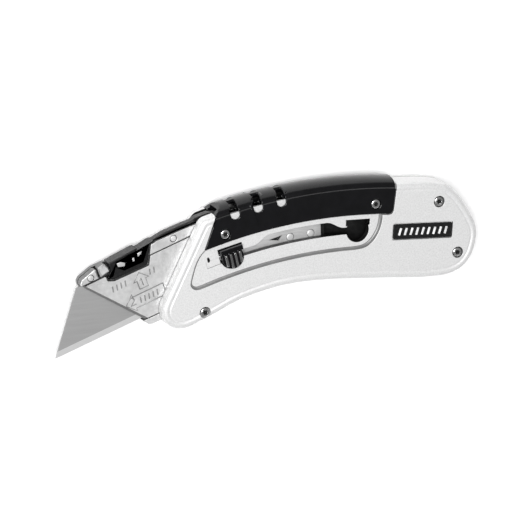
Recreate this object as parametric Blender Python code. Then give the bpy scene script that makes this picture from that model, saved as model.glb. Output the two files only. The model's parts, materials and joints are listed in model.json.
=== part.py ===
"""Pocket utility knife with a blade carrier that slides out along an arc.

Shapes are laid out in millimetres on the side view and turned into metres when an object is
made. track(a, h) measures along the arc that the carrier follows: a runs from the middle of
the handle towards the blade, h runs outwards from the arc. blade(s, p) measures along the
cutting edge from the tip, and up from it. z is 0 at the near face, negative into the knife.
"""
import bmesh
import bpy
import math
from mathutils import Matrix, Vector

# overall sizes, in millimetres
TRACK_RADIUS = 165.4
HANDLE_THICKNESS = 13.0
SLIDE_TRAVEL = 44.5
EDGE_RADIUS = 1.5
GAP = 0.3
PIN_CLEARANCE = 0.15

# handle section, measured from the track
FLOOR_H = -13.4
SADDLE_LOW_H = 4.1
CREASE_H = 12.8
CROWN_RISE = 2.8
SHELL_TOP_H = 12.5
HANDLE_TOP_H = 14.1
SADDLE_SHEET = 0.8
SADDLE_REAR_A = -18.0
SADDLE_VENT_WIDTH = 2.9
SADDLE_VENT_LOW_H = 10.6
SADDLE_VENT_PITCH = 7.5
SADDLE_VENT_FIRST_A = 34.3
RECESS_DEPTH = 1.2
RECESS_LOW_H = -7.6
RECESS_CHAMFER = 1.1

# thumb button and its slot
BUTTON_A = 38.1
BUTTON_H = -1.4
BUTTON_RADIUS = 3.9
BUTTON_BAR_HALF = 4.2
BUTTON_BAR_LOW_H = 0.4
BUTTON_BAR_TOP_H = 2.0
BUTTON_RISE = 0.9
NECK_HALF_WIDTH = 0.7
NECK_HALF_LENGTH = 3.0
SLOT_LOW_H = -2.1
SLOT_NARROW_H = 0.0
SLOT_WIDE_H = 2.1
SLOT_FRONT_A = 47.1

# blade and carrier
BLADE_LENGTH = 62.0
BLADE_BACK_LENGTH = 33.0
BLADE_HEIGHT = 19.0
BLADE_THICKNESS = 0.6
BLADE_TANGENT_A = 56.6
BLADE_TANGENT_S = 46.4
BLADE_BACK_H = 8.7
CARRIER_THICKNESS = 5.0
CARRIER_LOW_P = -2.5
BAR_TOP_P = 22.9
BAR_TOP_H = 12.3
BAR_REAR_A = 31.0
TAIL_START_A = 24.0
TAIL_END_A = 4.0
TAIL_LOW_H = -5.4
TAIL_TOP_H = 2.6
SPRING_THICKNESS = 0.6
RIVET_RADIUS = 1.0
SPRING_RIVET_RADIUS = 1.2
SPRING_RIVETS_A = (16.3, 9.1)

# blade release lever
LEVER_TOP_H = 13.5
RAIL_HALF_WIDTH = 1.5
PIVOT_A = 34.6
PIVOT_H = 9.9
PIVOT_RADIUS = 0.8

# screws and badge
HEAD_RADIUS = 1.6
HEAD_THICKNESS = 1.2
SHANK_RADIUS = 1.0
SADDLE_HEAD_THICKNESS = 0.6
CUP_DEPTH = 1.0
BADGE_LENGTH = 21.0
BADGE_WIDTH = 5.0
BADGE_THICKNESS = 0.65
BADGE_PROUD = 0.25

# depths that follow from the sizes above
MID_Z = -HANDLE_THICKNESS / 2
CARRIER_TOP_Z = MID_Z + CARRIER_THICKNESS / 2
CARRIER_LOW_Z = MID_Z - CARRIER_THICKNESS / 2
CAVITY_TOP_Z = CARRIER_TOP_Z + GAP
CAVITY_LOW_Z = CARRIER_LOW_Z - GAP
COVER_TOP_Z = CAVITY_LOW_Z - GAP
POCKET_TOP_Z = MID_Z + BLADE_THICKNESS / 2 + GAP
POCKET_LOW_Z = MID_Z - BLADE_THICKNESS / 2 - GAP
SEAT_DEPTH = SADDLE_SHEET + GAP
REAR_A = TAIL_END_A - SLIDE_TRAVEL
BUTTON_REAR_A = BUTTON_A - SLIDE_TRAVEL
SIDES = 24
BIG = 30.0


def track(a, h):
    angle = a / TRACK_RADIUS
    radius = TRACK_RADIUS + h
    return (-radius * math.sin(angle), radius * math.cos(angle) - TRACK_RADIUS)


def blade(s, p):
    slope = BLADE_TANGENT_A / TRACK_RADIUS
    x, y = track(BLADE_TANGENT_A, BLADE_BACK_H)
    ds = s - BLADE_TANGENT_S
    dp = p - BLADE_HEIGHT
    return (x + ds * math.cos(slope) - dp * math.sin(slope),
            y + ds * math.sin(slope) + dp * math.cos(slope))


def run(a_from, a_to, h_from, h_to=None, step=4.0):
    """Points along the track from one place to another, with h eased between its two ends."""
    h_to = h_from if h_to is None else h_to
    count = max(2, math.ceil(abs(a_to - a_from) / step))
    points = []
    for i in range(count + 1):
        t = i / count
        ease = t * t * (3 - 2 * t)
        points.append(track(a_from + t * (a_to - a_from), h_from + ease * (h_to - h_from)))
    return points


def spline(points, per_span=3):
    """A smooth curve through points, without its last point."""
    ends = [points[0]] + list(points) + [points[-1]]
    curve = []
    for i in range(len(points) - 1):
        a, b, c, d = (Vector(p) for p in ends[i:i + 4])
        for k in range(per_span):
            t = k / per_span
            curve.append(tuple(0.5 * (2 * b + (c - a) * t + (2 * a - 5 * b + 4 * c - d) * t ** 2
                                      + (3 * b - 3 * c + d - a) * t ** 3)))
    return curve


def arc(centre, radius, start_deg, end_deg, count=10):
    """Points round a centre, in plain side-view coordinates."""
    points = []
    for i in range(count + 1):
        angle = math.radians(start_deg + (end_deg - start_deg) * i / count)
        points.append((centre[0] + radius * math.cos(angle),
                       centre[1] + radius * math.sin(angle)))
    return points


def circle(centre, radius, sides=SIDES):
    return arc(centre, radius, 0, 360 * (sides - 1) / sides, sides - 1)


def rounded(corners, radii, count=4):
    """An outline with each corner filleted by its own radius."""
    outline = []
    n = len(corners)
    for i, corner in enumerate(corners):
        here = Vector(corner)
        before = Vector(corners[i - 1]) - here
        after = Vector(corners[(i + 1) % n]) - here
        half = before.angle(after) / 2
        radius = min(radii[i], 0.45 * min(before.length, after.length) * math.tan(half))
        if radius < 0.05:
            outline.append(corner)
            continue
        reach = radius / math.tan(half)
        start = here + before.normalized() * reach
        end = here + after.normalized() * reach
        for k in range(count + 1):
            t = k / count
            outline.append(tuple((1 - t) ** 2 * start + 2 * t * (1 - t) * here + t * t * end))
    return outline


def area(outline):
    total = 0.0
    for (x0, y0), (x1, y1) in zip(outline, outline[1:] + outline[:1]):
        total += x0 * y1 - x1 * y0
    return total / 2


def prism(outline, z_low, z_high, round_top=0.0, round_low=0.0, segments=3):
    """A closed solid with the given outline, its edges rounded at the top or at the bottom."""
    if area(outline) < 0:
        outline = outline[::-1]
    bm = bmesh.new()
    low = [bm.verts.new((x, y, z_low)) for x, y in outline]
    top = [bm.verts.new((x, y, z_high)) for x, y in outline]
    bm.faces.new(low[::-1])
    bm.faces.new(top)
    for i in range(len(outline)):
        k = (i + 1) % len(outline)
        bm.faces.new((low[i], low[k], top[k], top[i]))
    for width, level in ((round_top, z_high), (round_low, z_low)):
        if width:
            edges = [e for e in bm.edges if all(abs(v.co.z - level) < 1e-6 for v in e.verts)]
            bmesh.ops.bevel(bm, geom=edges, offset=width, segments=segments, profile=0.5,
                            affect="EDGES", material=-1)
    return bm


def joined(*parts):
    """One mesh from several that don't touch each other."""
    whole = parts[0]
    for other in parts[1:]:
        mesh = bpy.data.meshes.new("part")
        other.to_mesh(mesh)
        other.free()
        whole.from_mesh(mesh)
        bpy.data.meshes.remove(mesh)
    return whole


def rod(centre, radius, z_low, z_high, sides=SIDES):
    return prism(circle(centre, radius, sides), z_low, z_high)


MATERIALS = {
    "silver_paint": ((0.72, 0.72, 0.72), 0.35, 0.3),
    "black_steel": ((0.015, 0.015, 0.016), 0.25, 0.2),
    "cast_zinc": ((0.55, 0.55, 0.55), 0.4, 0.9),
    "blade_steel": ((0.40, 0.40, 0.40), 0.3, 1.0),
    "dark_chrome": ((0.10, 0.10, 0.11), 0.15, 1.0),
    "bright_steel": ((0.70, 0.70, 0.70), 0.2, 1.0),
    "spring_steel": ((0.45, 0.45, 0.45), 0.35, 1.0),
    "black_plastic": ((0.02, 0.02, 0.02), 0.4, 0.0),
}


def material(node, finish):
    colour, roughness, metallic = MATERIALS[finish]
    made = bpy.data.materials.new(node)
    made.use_nodes = True
    shader = made.node_tree.nodes["Principled BSDF"]
    shader.inputs["Base Color"].default_value = (*colour, 1)
    shader.inputs["Roughness"].default_value = roughness
    shader.inputs["Metallic"].default_value = metallic
    return made


def handle_outline():
    """The closed side view of the handle, with its front edge sloping back to the spine."""
    nose = [(63.6, -5.2), (66.4, -8.0), (67.4, -12.0), (65.4, -15.7), (60.5, -17.9), (50.0, -17.6),
            (38.6, -16.3), (23.0, -15.9), (6.6, -16.8)]
    tail = [(24.7, -17.8), (7.9, -17.0), (-2.9, -14.6), (-8.2, -10.2), (-9.7, -4.3), (-8.1, 2.8),
            (-1.5, 10.0), (4.5, 14.4), (8.0, 15.1), (14.5, 14.8), (22.5, HANDLE_TOP_H)]
    low = [track(a, h) for a, h in nose] + [track(REAR_A + a, h) for a, h in tail]
    top = run(REAR_A + 22.5, 39.0, HANDLE_TOP_H)
    front = rounded([top[-1], track(44.7, HANDLE_TOP_H), low[0]], [0, 4.0, 0])[1:-1]
    return spline(low) + top + front


def saddle_side(grow=0.0):
    """Side view of the saddle, from its lower edge up past the crown."""
    low = run(45.8 + grow, SADDLE_REAR_A + 4.0, SADDLE_LOW_H - grow)
    corner = [track(SADDLE_REAR_A + 1.6 - 0.7 * grow, SADDLE_LOW_H + 1.0 - 0.7 * grow),
              track(SADDLE_REAR_A + 0.3 - grow, SADDLE_LOW_H + 2.6)]
    rear = [track(SADDLE_REAR_A - grow, SADDLE_LOW_H + 4.5), track(SADDLE_REAR_A - grow, 20.0)]
    front = [track(36.6 + grow, 20.0), track(36.8 + grow, 16.0), track(40.0 + grow, 13.8),
             track(46.2 + grow, SADDLE_LOW_H + 1.0 - grow)]
    return low + corner + rear + front


def shell_top_cut():
    """The room over both shells for the saddle's crown."""
    rear = SADDLE_REAR_A - GAP - 0.1
    return run(40.4, rear, SHELL_TOP_H) + [track(rear, BIG), track(40.4, BIG)]


def cavity_outline():
    floor = run(75.0, REAR_A + 2.0, FLOOR_H)
    rear = [(-0.8, FLOOR_H), (-0.8, -4.0), (-5.4, -3.2), (-5.4, 2.0), (-0.5, 6.0), (9.6, 6.2),
            (10.4, 11.0)]
    top = [track(SADDLE_REAR_A + 2.0, 11.2), track(SADDLE_REAR_A + 2.0, BIG), track(85.0, BIG)]
    return floor + [track(REAR_A + a, h) for a, h in rear] + top


def recess_outline():
    """The shallow dish round the slot, open under the saddle's lower edge."""
    rear = BUTTON_REAR_A
    top_h = SADDLE_LOW_H + 0.5
    low = run(53.5, rear + 0.5, RECESS_LOW_H)
    back = [track(rear + a, h) for a, h in ((-3.6, -6.6), (-6.2, -3.5), (-7.7, 0.7))]
    top = run(rear - 7.9, 46.0, top_h)
    front = [track(48.0, 3.4), track(52.6, -0.8), track(55.4, -4.6), track(55.2, -7.0)]
    return low + back + top + front


def slot_outline():
    """The way of the button's neck, wider over the middle where the lock spring shows."""
    top = run(SLOT_FRONT_A, 26.0, SLOT_NARROW_H)
    rise = run(26.0, 19.0, SLOT_NARROW_H, SLOT_WIDE_H, 2.0)[1:]
    middle = run(19.0, 8.0, SLOT_WIDE_H)[1:]
    fall = run(8.0, 3.0, SLOT_WIDE_H, 0.5, 2.0)[1:]
    neck = run(3.0, BUTTON_REAR_A, 0.5)[1:]
    return top + rise + middle + fall + neck + run(BUTTON_REAR_A, SLOT_FRONT_A, SLOT_LOW_H)


def keyhole(a_middle, grow=0.0):
    """The button's outline: a round pad with a straight bar across its top."""
    pad = []
    for point in arc((0, 0), BUTTON_RADIUS + grow, 155, 385, 16):
        pad.append((a_middle - point[0], BUTTON_H + point[1]))
    half = BUTTON_BAR_HALF + grow
    low = BUTTON_BAR_LOW_H - grow * 0.5
    top = BUTTON_BAR_TOP_H + grow
    bar = [(a_middle - half, low), (a_middle - half, top), (a_middle + half, top),
           (a_middle + half, low)]
    return [track(a, h) for a, h in pad + bar]


HANDLE_SCREWS = {
    "screw_front_lower": track(52.8, -15.6),
    "screw_rear_upper": track(REAR_A + 7.2, 9.1),
    "screw_rear_lower": track(REAR_A - 3.7, -6.8),
}
SADDLE_SCREWS = {
    "front": track(38.8, 6.9),
    "rear": track(SADDLE_REAR_A + 6.2, 7.4),
}
BADGE_MIDDLE = track(REAR_A + 11.1, -1.1)
BADGE_TURN = math.radians(-3.5)
PIVOT = track(PIVOT_A, PIVOT_H)
NOSE_RIVET = blade(19.7, 20.8)
REAR_RIVET = blade(49.4, 21.0)


def rectangle(middle, length, width, turn=0.0, corner=0.6):
    spin = Matrix.Rotation(turn, 2)
    corners = []
    for x, y in ((-1, -1), (1, -1), (1, 1), (-1, 1)):
        corners.append(tuple(Vector(middle) + spin @ Vector((x * length / 2, y * width / 2))))
    return rounded(corners, [corner] * 4)


def all_outlines():
    tip = blade(0, 0)
    crown = track(0, CREASE_H + CROWN_RISE)
    return [tip, crown] + handle_outline()


xs = [p[0] for p in all_outlines()]
ys = [p[1] for p in all_outlines()]
OFFSET = Vector((-(min(xs) + max(xs)) / 2, -(min(ys) + max(ys)) / 2, HANDLE_THICKNESS))


def world(point, z=0.0):
    return (Vector((point[0], point[1], z)) + OFFSET) / 1000


def finish(name, bm, look, pivot=None, cuts=(), adds=(), keeps=()):
    """Make the object; each cut, add or keep becomes a Boolean with a hidden cutter."""
    place = world((0, 0)) if pivot is None else pivot.location.copy()
    made = link(name, bm, place)
    made.data.materials.append(material(name, look))
    if pivot is not None:
        made.parent = pivot
        made.location = (0, 0, 0)
    number = 0
    for operation, tools in (("UNION", adds), ("INTERSECT", keeps), ("DIFFERENCE", cuts)):
        for tool in tools:
            number += 1
            cutter = link(f"{name}_cutter_{number}", tool, world((0, 0)))
            cutter.hide_render = True
            cutter.display_type = "WIRE"
            step = made.modifiers.new(f"cut_{number}", "BOOLEAN")
            step.operation = operation
            step.solver = "EXACT"
            step.object = cutter
    return made


def link(name, bm, place):
    """Turn the drawing's millimetres into an object whose origin is at place."""
    bmesh.ops.scale(bm, vec=(0.001,) * 3, verts=bm.verts)
    bmesh.ops.translate(bm, vec=world((0, 0)) - place, verts=bm.verts)
    mesh = bpy.data.meshes.new(name)
    bm.to_mesh(mesh)
    bm.free()
    mesh.set_sharp_from_angle(angle=math.radians(35))
    made = bpy.data.objects.new(name, mesh)
    made.location = place
    bpy.context.scene.collection.objects.link(made)
    return made


def pivot(name, point, z=0.0):
    empty = bpy.data.objects.new(name, None)
    empty.location = world(point, z)
    bpy.context.scene.collection.objects.link(empty)
    return empty


def grip_notches():
    cuts = [rod(track(a, -18.9), 1.5, -HANDLE_THICKNESS - 1, 1, 16) for a in (56.0, 47.6)]
    cuts.append(rod(track(38.4, -17.3), 1.5, -HANDLE_THICKNESS - 1, 1, 16))
    return joined(*cuts)


def near_shell():
    body = prism(handle_outline(), CAVITY_LOW_Z, 0, round_top=EDGE_RADIUS, segments=2)
    cavity = prism(cavity_outline(), CAVITY_LOW_Z - 1, CAVITY_TOP_Z)
    recess = prism(recess_outline(), -RECESS_DEPTH, 2.0, round_low=RECESS_CHAMFER, segments=1)
    slot = prism(slot_outline(), CAVITY_TOP_Z - 1, 1)
    pockets = joined(*(prism(keyhole(a, GAP), CAVITY_TOP_Z - 0.8, 1.2)
                       for a in (BUTTON_A, BUTTON_REAR_A)))
    top = prism(shell_top_cut(), -HANDLE_THICKNESS - 1, 1)
    seat = prism(saddle_side(GAP), -SEAT_DEPTH, 1.5)
    cups = joined(*(rod(p, HEAD_RADIUS + 0.2 + SADDLE_SHEET + GAP,
                        -CUP_DEPTH - SADDLE_SHEET - GAP, 1.7) for p in SADDLE_SCREWS.values()))
    threads = joined(*(rod(p, SHANK_RADIUS + PIN_CLEARANCE, CAVITY_TOP_Z - 0.5, 1)
                       for p in SADDLE_SCREWS.values()))
    shanks = joined(*(rod(p, SHANK_RADIUS + PIN_CLEARANCE, CAVITY_LOW_Z - 1, 1)
                      for p in HANDLE_SCREWS.values()))
    heads = joined(*(rod(p, HEAD_RADIUS + GAP, -HEAD_THICKNESS - GAP - 0.2, 1.1)
                     for p in HANDLE_SCREWS.values()))
    badge = prism(rectangle(BADGE_MIDDLE, BADGE_LENGTH + 2 * GAP, BADGE_WIDTH + 2 * GAP,
                            BADGE_TURN), BADGE_PROUD - BADGE_THICKNESS - GAP, 1.3)
    finish("near_shell", body, "silver_paint",
           cuts=[cavity, grip_notches(), recess, top, seat, cups, slot, pockets, threads, shanks,
                 heads, badge])


def far_cover():
    far = -HANDLE_THICKNESS
    body = prism(handle_outline(), far, COVER_TOP_Z, round_low=EDGE_RADIUS, segments=2)
    top = prism(shell_top_cut(), far - 1, 1)
    seat = prism(saddle_side(GAP), far - 1.5, far + SEAT_DEPTH)
    cups = joined(*(rod(p, HEAD_RADIUS + 0.2 + SADDLE_SHEET + GAP, far - 1.7,
                        far + CUP_DEPTH + SADDLE_SHEET + GAP) for p in SADDLE_SCREWS.values()))
    threads = joined(*(rod(p, SHANK_RADIUS + PIN_CLEARANCE, far - 1, COVER_TOP_Z + 1)
                       for p in SADDLE_SCREWS.values()))
    shanks = joined(*(rod(p, SHANK_RADIUS + PIN_CLEARANCE, far + 0.8, COVER_TOP_Z + 1)
                      for p in HANDLE_SCREWS.values()))
    finish("far_cover", body, "silver_paint",
           cuts=[grip_notches(), top, seat, cups, threads, shanks])


def saddle_profile():
    """The saddle's section as (z, h) points: two straight legs and an arched crown."""
    half = HANDLE_THICKNESS / 2
    outer = arc((0, 0), 1, 0, 180, 14)
    shape = [(0.0, SADDLE_LOW_H - 3)]
    shape += [(MID_Z + half * c, CREASE_H + CROWN_RISE * s) for c, s in outer]
    shape += [(-HANDLE_THICKNESS, SADDLE_LOW_H - 3)]
    shape += [(-HANDLE_THICKNESS + SADDLE_SHEET, SADDLE_LOW_H - 3)]
    shape += [(MID_Z + (half - SADDLE_SHEET) * c, CREASE_H + (CROWN_RISE - SADDLE_SHEET) * s)
              for c, s in outer[::-1]]
    shape += [(-SADDLE_SHEET, SADDLE_LOW_H - 3)]
    return shape


def swept(profile, a_from, a_to, step=2.5):
    """A solid made by moving a (z, h) section along the track."""
    bm = bmesh.new()
    rings = []
    count = math.ceil(abs(a_to - a_from) / step)
    for i in range(count + 1):
        a = a_from + (a_to - a_from) * i / count
        ring = []
        for z, h in profile:
            x, y = track(a, h)
            ring.append(bm.verts.new((x, y, z)))
        rings.append(ring)
    for first, second in zip(rings, rings[1:]):
        for k in range(len(profile)):
            m = (k + 1) % len(profile)
            bm.faces.new((first[k], first[m], second[m], second[k]))
    bm.faces.new(rings[0][::-1])
    bm.faces.new(rings[-1])
    bmesh.ops.recalc_face_normals(bm, faces=bm.faces)
    return bm


def vent_outline(a_middle):
    half = SADDLE_VENT_WIDTH / 2
    low = [(a_middle + half * math.cos(math.radians(d)),
            SADDLE_VENT_LOW_H + half + half * math.sin(math.radians(d)))
           for d in range(180, 361, 20)]
    top = [(a_middle + half, 20.0), (a_middle - half, 20.0)]
    return [track(a, h) for a, h in low + top]


def spine_saddle():
    sheet = swept(saddle_profile(), 50.0, SADDLE_REAR_A - 4.0)
    trim = prism(saddle_side(), -HANDLE_THICKNESS - 2, 2)
    vents = joined(*(prism(vent_outline(SADDLE_VENT_FIRST_A - i * SADDLE_VENT_PITCH),
                           -HANDLE_THICKNESS - 3, 3) for i in range(3)))
    bosses = []
    wells = []
    for p in SADDLE_SCREWS.values():
        outer = HEAD_RADIUS + 0.2 + SADDLE_SHEET
        inner = HEAD_RADIUS + 0.2
        bosses.append(rod(p, outer, -CUP_DEPTH - SADDLE_SHEET, -0.4))
        bosses.append(rod(p, outer, -HANDLE_THICKNESS + 0.4,
                          -HANDLE_THICKNESS + CUP_DEPTH + SADDLE_SHEET))
        wells.append(rod(p, inner, -CUP_DEPTH, 3))
        wells.append(rod(p, inner, -HANDLE_THICKNESS - 3, -HANDLE_THICKNESS + CUP_DEPTH))
    bores = joined(*(rod(p, SHANK_RADIUS + PIN_CLEARANCE, -HANDLE_THICKNESS - 4, 4)
                     for p in SADDLE_SCREWS.values()))
    finish("spine_saddle", sheet, "black_steel", keeps=[trim],
           cuts=[joined(*wells), bores, vents], adds=[joined(*bosses)])


def screw(name, point, head_top, head_thickness, tip, down=-1):
    """A pan-head screw with a hexagonal socket; down is the way that it points along z."""
    length = abs(tip - head_top)
    bm = bmesh.new()
    profile = [(HEAD_RADIUS * 0.85, 0.0), (HEAD_RADIUS, 0.25), (HEAD_RADIUS, head_thickness),
               (SHANK_RADIUS, head_thickness), (SHANK_RADIUS, length - 0.4),
               (SHANK_RADIUS * 0.6, length)]
    rings = []
    for radius, depth in profile:
        z = head_top + down * depth
        rings.append([bm.verts.new((x, y, z)) for x, y in circle(point, radius)])
    for first, second in zip(rings, rings[1:]):
        for k in range(SIDES):
            m = (k + 1) % SIDES
            bm.faces.new((first[k], first[m], second[m], second[k]))
    bm.faces.new(rings[0])
    bm.faces.new(rings[-1])
    bmesh.ops.recalc_face_normals(bm, faces=bm.faces)
    depth = head_thickness * 0.6
    low, high = sorted((head_top - down * 1.0, head_top + down * depth))
    finish(name, bm, "bright_steel", cuts=[rod(point, 0.75, low, high, 6)])


def screws():
    for name, point in HANDLE_SCREWS.items():
        screw(name, point, -0.2, HEAD_THICKNESS, -HANDLE_THICKNESS + 1.3)
    for place, point in SADDLE_SCREWS.items():
        top = -CUP_DEPTH + GAP + SADDLE_HEAD_THICKNESS
        tip = CAVITY_TOP_Z + 0.4
        screw(f"saddle_screw_near_{place}", point, top, SADDLE_HEAD_THICKNESS, tip)
        screw(f"saddle_screw_far_{place}", point, -HANDLE_THICKNESS - top,
              SADDLE_HEAD_THICKNESS, COVER_TOP_Z - 0.3, 1)


def badge_plate():
    plate = prism(rectangle(BADGE_MIDDLE, BADGE_LENGTH, BADGE_WIDTH, BADGE_TURN),
                  BADGE_PROUD - BADGE_THICKNESS, BADGE_PROUD, round_top=0.15, segments=1)
    finish("badge_plate", plate, "black_plastic")


def carrier_outline():
    """The carrier's whole side view: nose, bars, lever pocket and sliding tail."""
    front = [blade(s, p) for s, p in ((33.3, CARRIER_LOW_P), (32.0, -2.0), (15.6, 19.2),
                                      (15.8, 20.5), (16.8, 21.5), (21.6, BAR_TOP_P),
                                      (44.0, BAR_TOP_P - 0.2))]
    top = run(56.0, BAR_REAR_A, BAR_TOP_H)
    back = [track(BAR_REAR_A, TAIL_TOP_H + 1.0)]
    back += run(BAR_REAR_A - 1.0, TAIL_END_A + 1.0, TAIL_TOP_H)
    back += [track(TAIL_END_A, TAIL_TOP_H - 1.0), track(TAIL_END_A, TAIL_LOW_H + 1.0)]
    back += run(TAIL_END_A + 1.0, BAR_REAR_A + 3.0, TAIL_LOW_H)
    rear = [blade(66.5, 3.0), blade(66.5, CARRIER_LOW_P + 1.0), blade(65.0, CARRIER_LOW_P)]
    return front + top + back + rear


def hood_gap():
    """Everything that the hood needs cut away, up past the bars."""
    corners = [(26.8 - GAP, 17.0 - GAP), (24.7 - GAP, 17.8 - GAP), (24.7 - GAP, 19.3),
               (26.7 - GAP, 19.3), (26.7 - GAP, 26.0), (43.0 + GAP, 26.0), (43.0 + GAP, 22.5),
               (41.6 + GAP, 22.5), (38.5 + GAP, 16.8 - GAP)]
    return [blade(s, p) for s, p in corners]


def carrier_frame(pivot_at):
    body = prism(carrier_outline(), CARRIER_LOW_Z, CARRIER_TOP_Z)
    top_z = CARRIER_TOP_Z + 1
    ceiling = BLADE_HEIGHT + GAP + 0.1
    bay = [blade(10, -GAP), blade(BLADE_LENGTH + 0.8, -GAP)]
    bay += run(39.7, TAIL_START_A, TAIL_LOW_H + 1.2) + run(TAIL_START_A, 40.3, TAIL_TOP_H + 0.8)
    bay += [blade(s, p) for s, p in ((BLADE_LENGTH + 0.8, ceiling), (30.0, ceiling),
                                     (30.0, 26.0), (10, 26.0))]
    bay_cut = prism(bay, POCKET_LOW_Z, top_z)
    low = run(BAR_REAR_A - 0.6, TAIL_END_A - 3.0, TAIL_LOW_H - 2.0)
    high = run(TAIL_END_A - 3.0, BAR_REAR_A - 0.6, TAIL_TOP_H + 2.0)
    tail_cut = prism(low + high, CARRIER_TOP_Z - SPRING_THICKNESS - GAP, top_z + 0.2)
    hood_cut = prism(hood_gap(), CARRIER_LOW_Z - 1, top_z + 0.3)
    lug = run(PIVOT_A + 2.4, BAR_REAR_A - 1.5, PIVOT_H - 2.0) + run(BAR_REAR_A - 1.5,
                                                                   PIVOT_A + 2.4, 16.0)
    lug_cut = prism(lug, MID_Z - RAIL_HALF_WIDTH - GAP, MID_Z + RAIL_HALF_WIDTH + GAP)
    spring_room = run(BAR_REAR_A + 2.7, BAR_REAR_A + 0.1, 4.6) + run(BAR_REAR_A + 0.1,
                                                                   BAR_REAR_A + 2.7, 9.0)
    spring_cut = prism(spring_room, MID_Z - 1.2, MID_Z + 1.2)
    bores = [rod(PIVOT, PIVOT_RADIUS + PIN_CLEARANCE, CARRIER_LOW_Z - 1, top_z),
             rod(NOSE_RIVET, RIVET_RADIUS + PIN_CLEARANCE, CARRIER_LOW_Z - 1, top_z),
             rod(REAR_RIVET, RIVET_RADIUS + PIN_CLEARANCE, CARRIER_LOW_Z - 1, top_z)]
    for a in SPRING_RIVETS_A:
        bores.append(rod(track(a, BUTTON_H), SPRING_RIVET_RADIUS + PIN_CLEARANCE,
                         CARRIER_LOW_Z - 1, top_z))
    finish("carrier_frame", body, "cast_zinc", pivot_at,
           cuts=[bay_cut, tail_cut, hood_cut, lug_cut, spring_cut, joined(*bores)])


def carrier_cover(pivot_at):
    corners = [(33.0, 0.0), (31.4, 0.0), (16.3, 19.1), (24.4, 19.1), (24.4, 17.4), (26.6, 16.4),
               (38.9, 16.2), (40.4, 19.1), (60.8, 19.1), (60.8, 0.0)]
    plate = prism([blade(s, p) for s, p in corners], POCKET_TOP_Z, CARRIER_TOP_Z)
    finish("carrier_cover", plate, "cast_zinc", pivot_at)


def nose_blocks(pivot_at):
    low_z = POCKET_LOW_Z + GAP
    top_p = BLADE_HEIGHT + 0.5
    nose = [(15.7, top_p), (15.9, 20.5), (16.8, 21.5), (21.6, BAR_TOP_P), (22.2, 22.6),
            (22.2, top_p)]
    latch = [(22.8, top_p), (22.8, 22.6), (23.1, 23.0), (24.8, 23.4), (25.6, 22.8),
             (26.1, 21.5), (26.1, 20.2)]
    block = prism([blade(s, p) for s, p in nose], low_z, CARRIER_TOP_Z, round_top=0.25,
                  segments=2)
    bore = rod(NOSE_RIVET, RIVET_RADIUS + PIN_CLEARANCE, low_z - 1, CARRIER_TOP_Z + 1)
    finish("nose_block", block, "cast_zinc", pivot_at, cuts=[bore])
    hook = prism([blade(s, p) for s, p in latch], low_z, CARRIER_TOP_Z, round_top=0.25,
                 segments=2)
    finish("latch_block", hook, "cast_zinc", pivot_at)


def rivet(name, point, radius, z_low, z_high, pivot_at):
    pin = prism(circle(point, radius), z_low, z_high, round_top=0.15, round_low=0.15, segments=1)
    finish(name, pin, "bright_steel", pivot_at)


def carrier_rivets(pivot_at):
    low_z = CARRIER_LOW_Z + 0.1
    rivet("carrier_rivet_nose", NOSE_RIVET, RIVET_RADIUS, low_z, CARRIER_TOP_Z, pivot_at)
    rivet("carrier_rivet_rear", REAR_RIVET, RIVET_RADIUS, low_z, CARRIER_TOP_Z, pivot_at)
    rivet("lever_pivot_pin", PIVOT, PIVOT_RADIUS, low_z, CARRIER_TOP_Z - 0.1, pivot_at)
    for name, a in zip(("spring_rivet_front", "spring_rivet_rear"), SPRING_RIVETS_A):
        rivet(name, track(a, BUTTON_H), SPRING_RIVET_RADIUS, low_z, CARRIER_TOP_Z + 0.1, pivot_at)


def lock_spring(pivot_at):
    low = run(BUTTON_A + 3.2, TAIL_END_A + 1.5, BUTTON_H - 1.0, TAIL_LOW_H + 1.6)
    high = run(TAIL_END_A + 1.5, 22.0, TAIL_TOP_H - 0.3)
    arm = run(22.0, 31.0, TAIL_TOP_H - 0.3, BUTTON_H + 1.0, 2.0)[1:]
    arm += run(31.0, BUTTON_A + 3.2, BUTTON_H + 1.0)[1:]
    leaf = prism(low + high + arm, CARRIER_TOP_Z - SPRING_THICKNESS, CARRIER_TOP_Z)
    bores = [rod(track(a, BUTTON_H), SPRING_RIVET_RADIUS + PIN_CLEARANCE, CARRIER_LOW_Z,
                 CARRIER_TOP_Z + 1) for a in SPRING_RIVETS_A]
    finish("lock_spring", leaf, "spring_steel", pivot_at, cuts=[joined(*bores)])


def thumb_button(pivot_at):
    body = prism(keyhole(BUTTON_A), -BUTTON_RISE, BUTTON_RISE, round_top=0.3, segments=2)
    neck_low = run(BUTTON_A + NECK_HALF_LENGTH, BUTTON_A - NECK_HALF_LENGTH,
                   BUTTON_H + 0.35 - NECK_HALF_WIDTH)
    neck_top = run(BUTTON_A - NECK_HALF_LENGTH, BUTTON_A + NECK_HALF_LENGTH,
                   BUTTON_H + 0.35 + NECK_HALF_WIDTH)
    neck = prism(neck_low + neck_top, CARRIER_TOP_Z + GAP, 0)
    grooves = []
    for k in range(5):
        a = BUTTON_A + (k - 2) * 1.55
        groove = [track(a - 0.4, BUTTON_H - 5.0), track(a + 0.4, BUTTON_H - 5.0),
                  track(a + 0.4, BUTTON_BAR_LOW_H), track(a - 0.4, BUTTON_BAR_LOW_H)]
        grooves.append(prism(groove, 0.1, 2.0))
    finish("thumb_button", body, "dark_chrome", pivot_at, adds=[neck], cuts=[joined(*grooves)])


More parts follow.
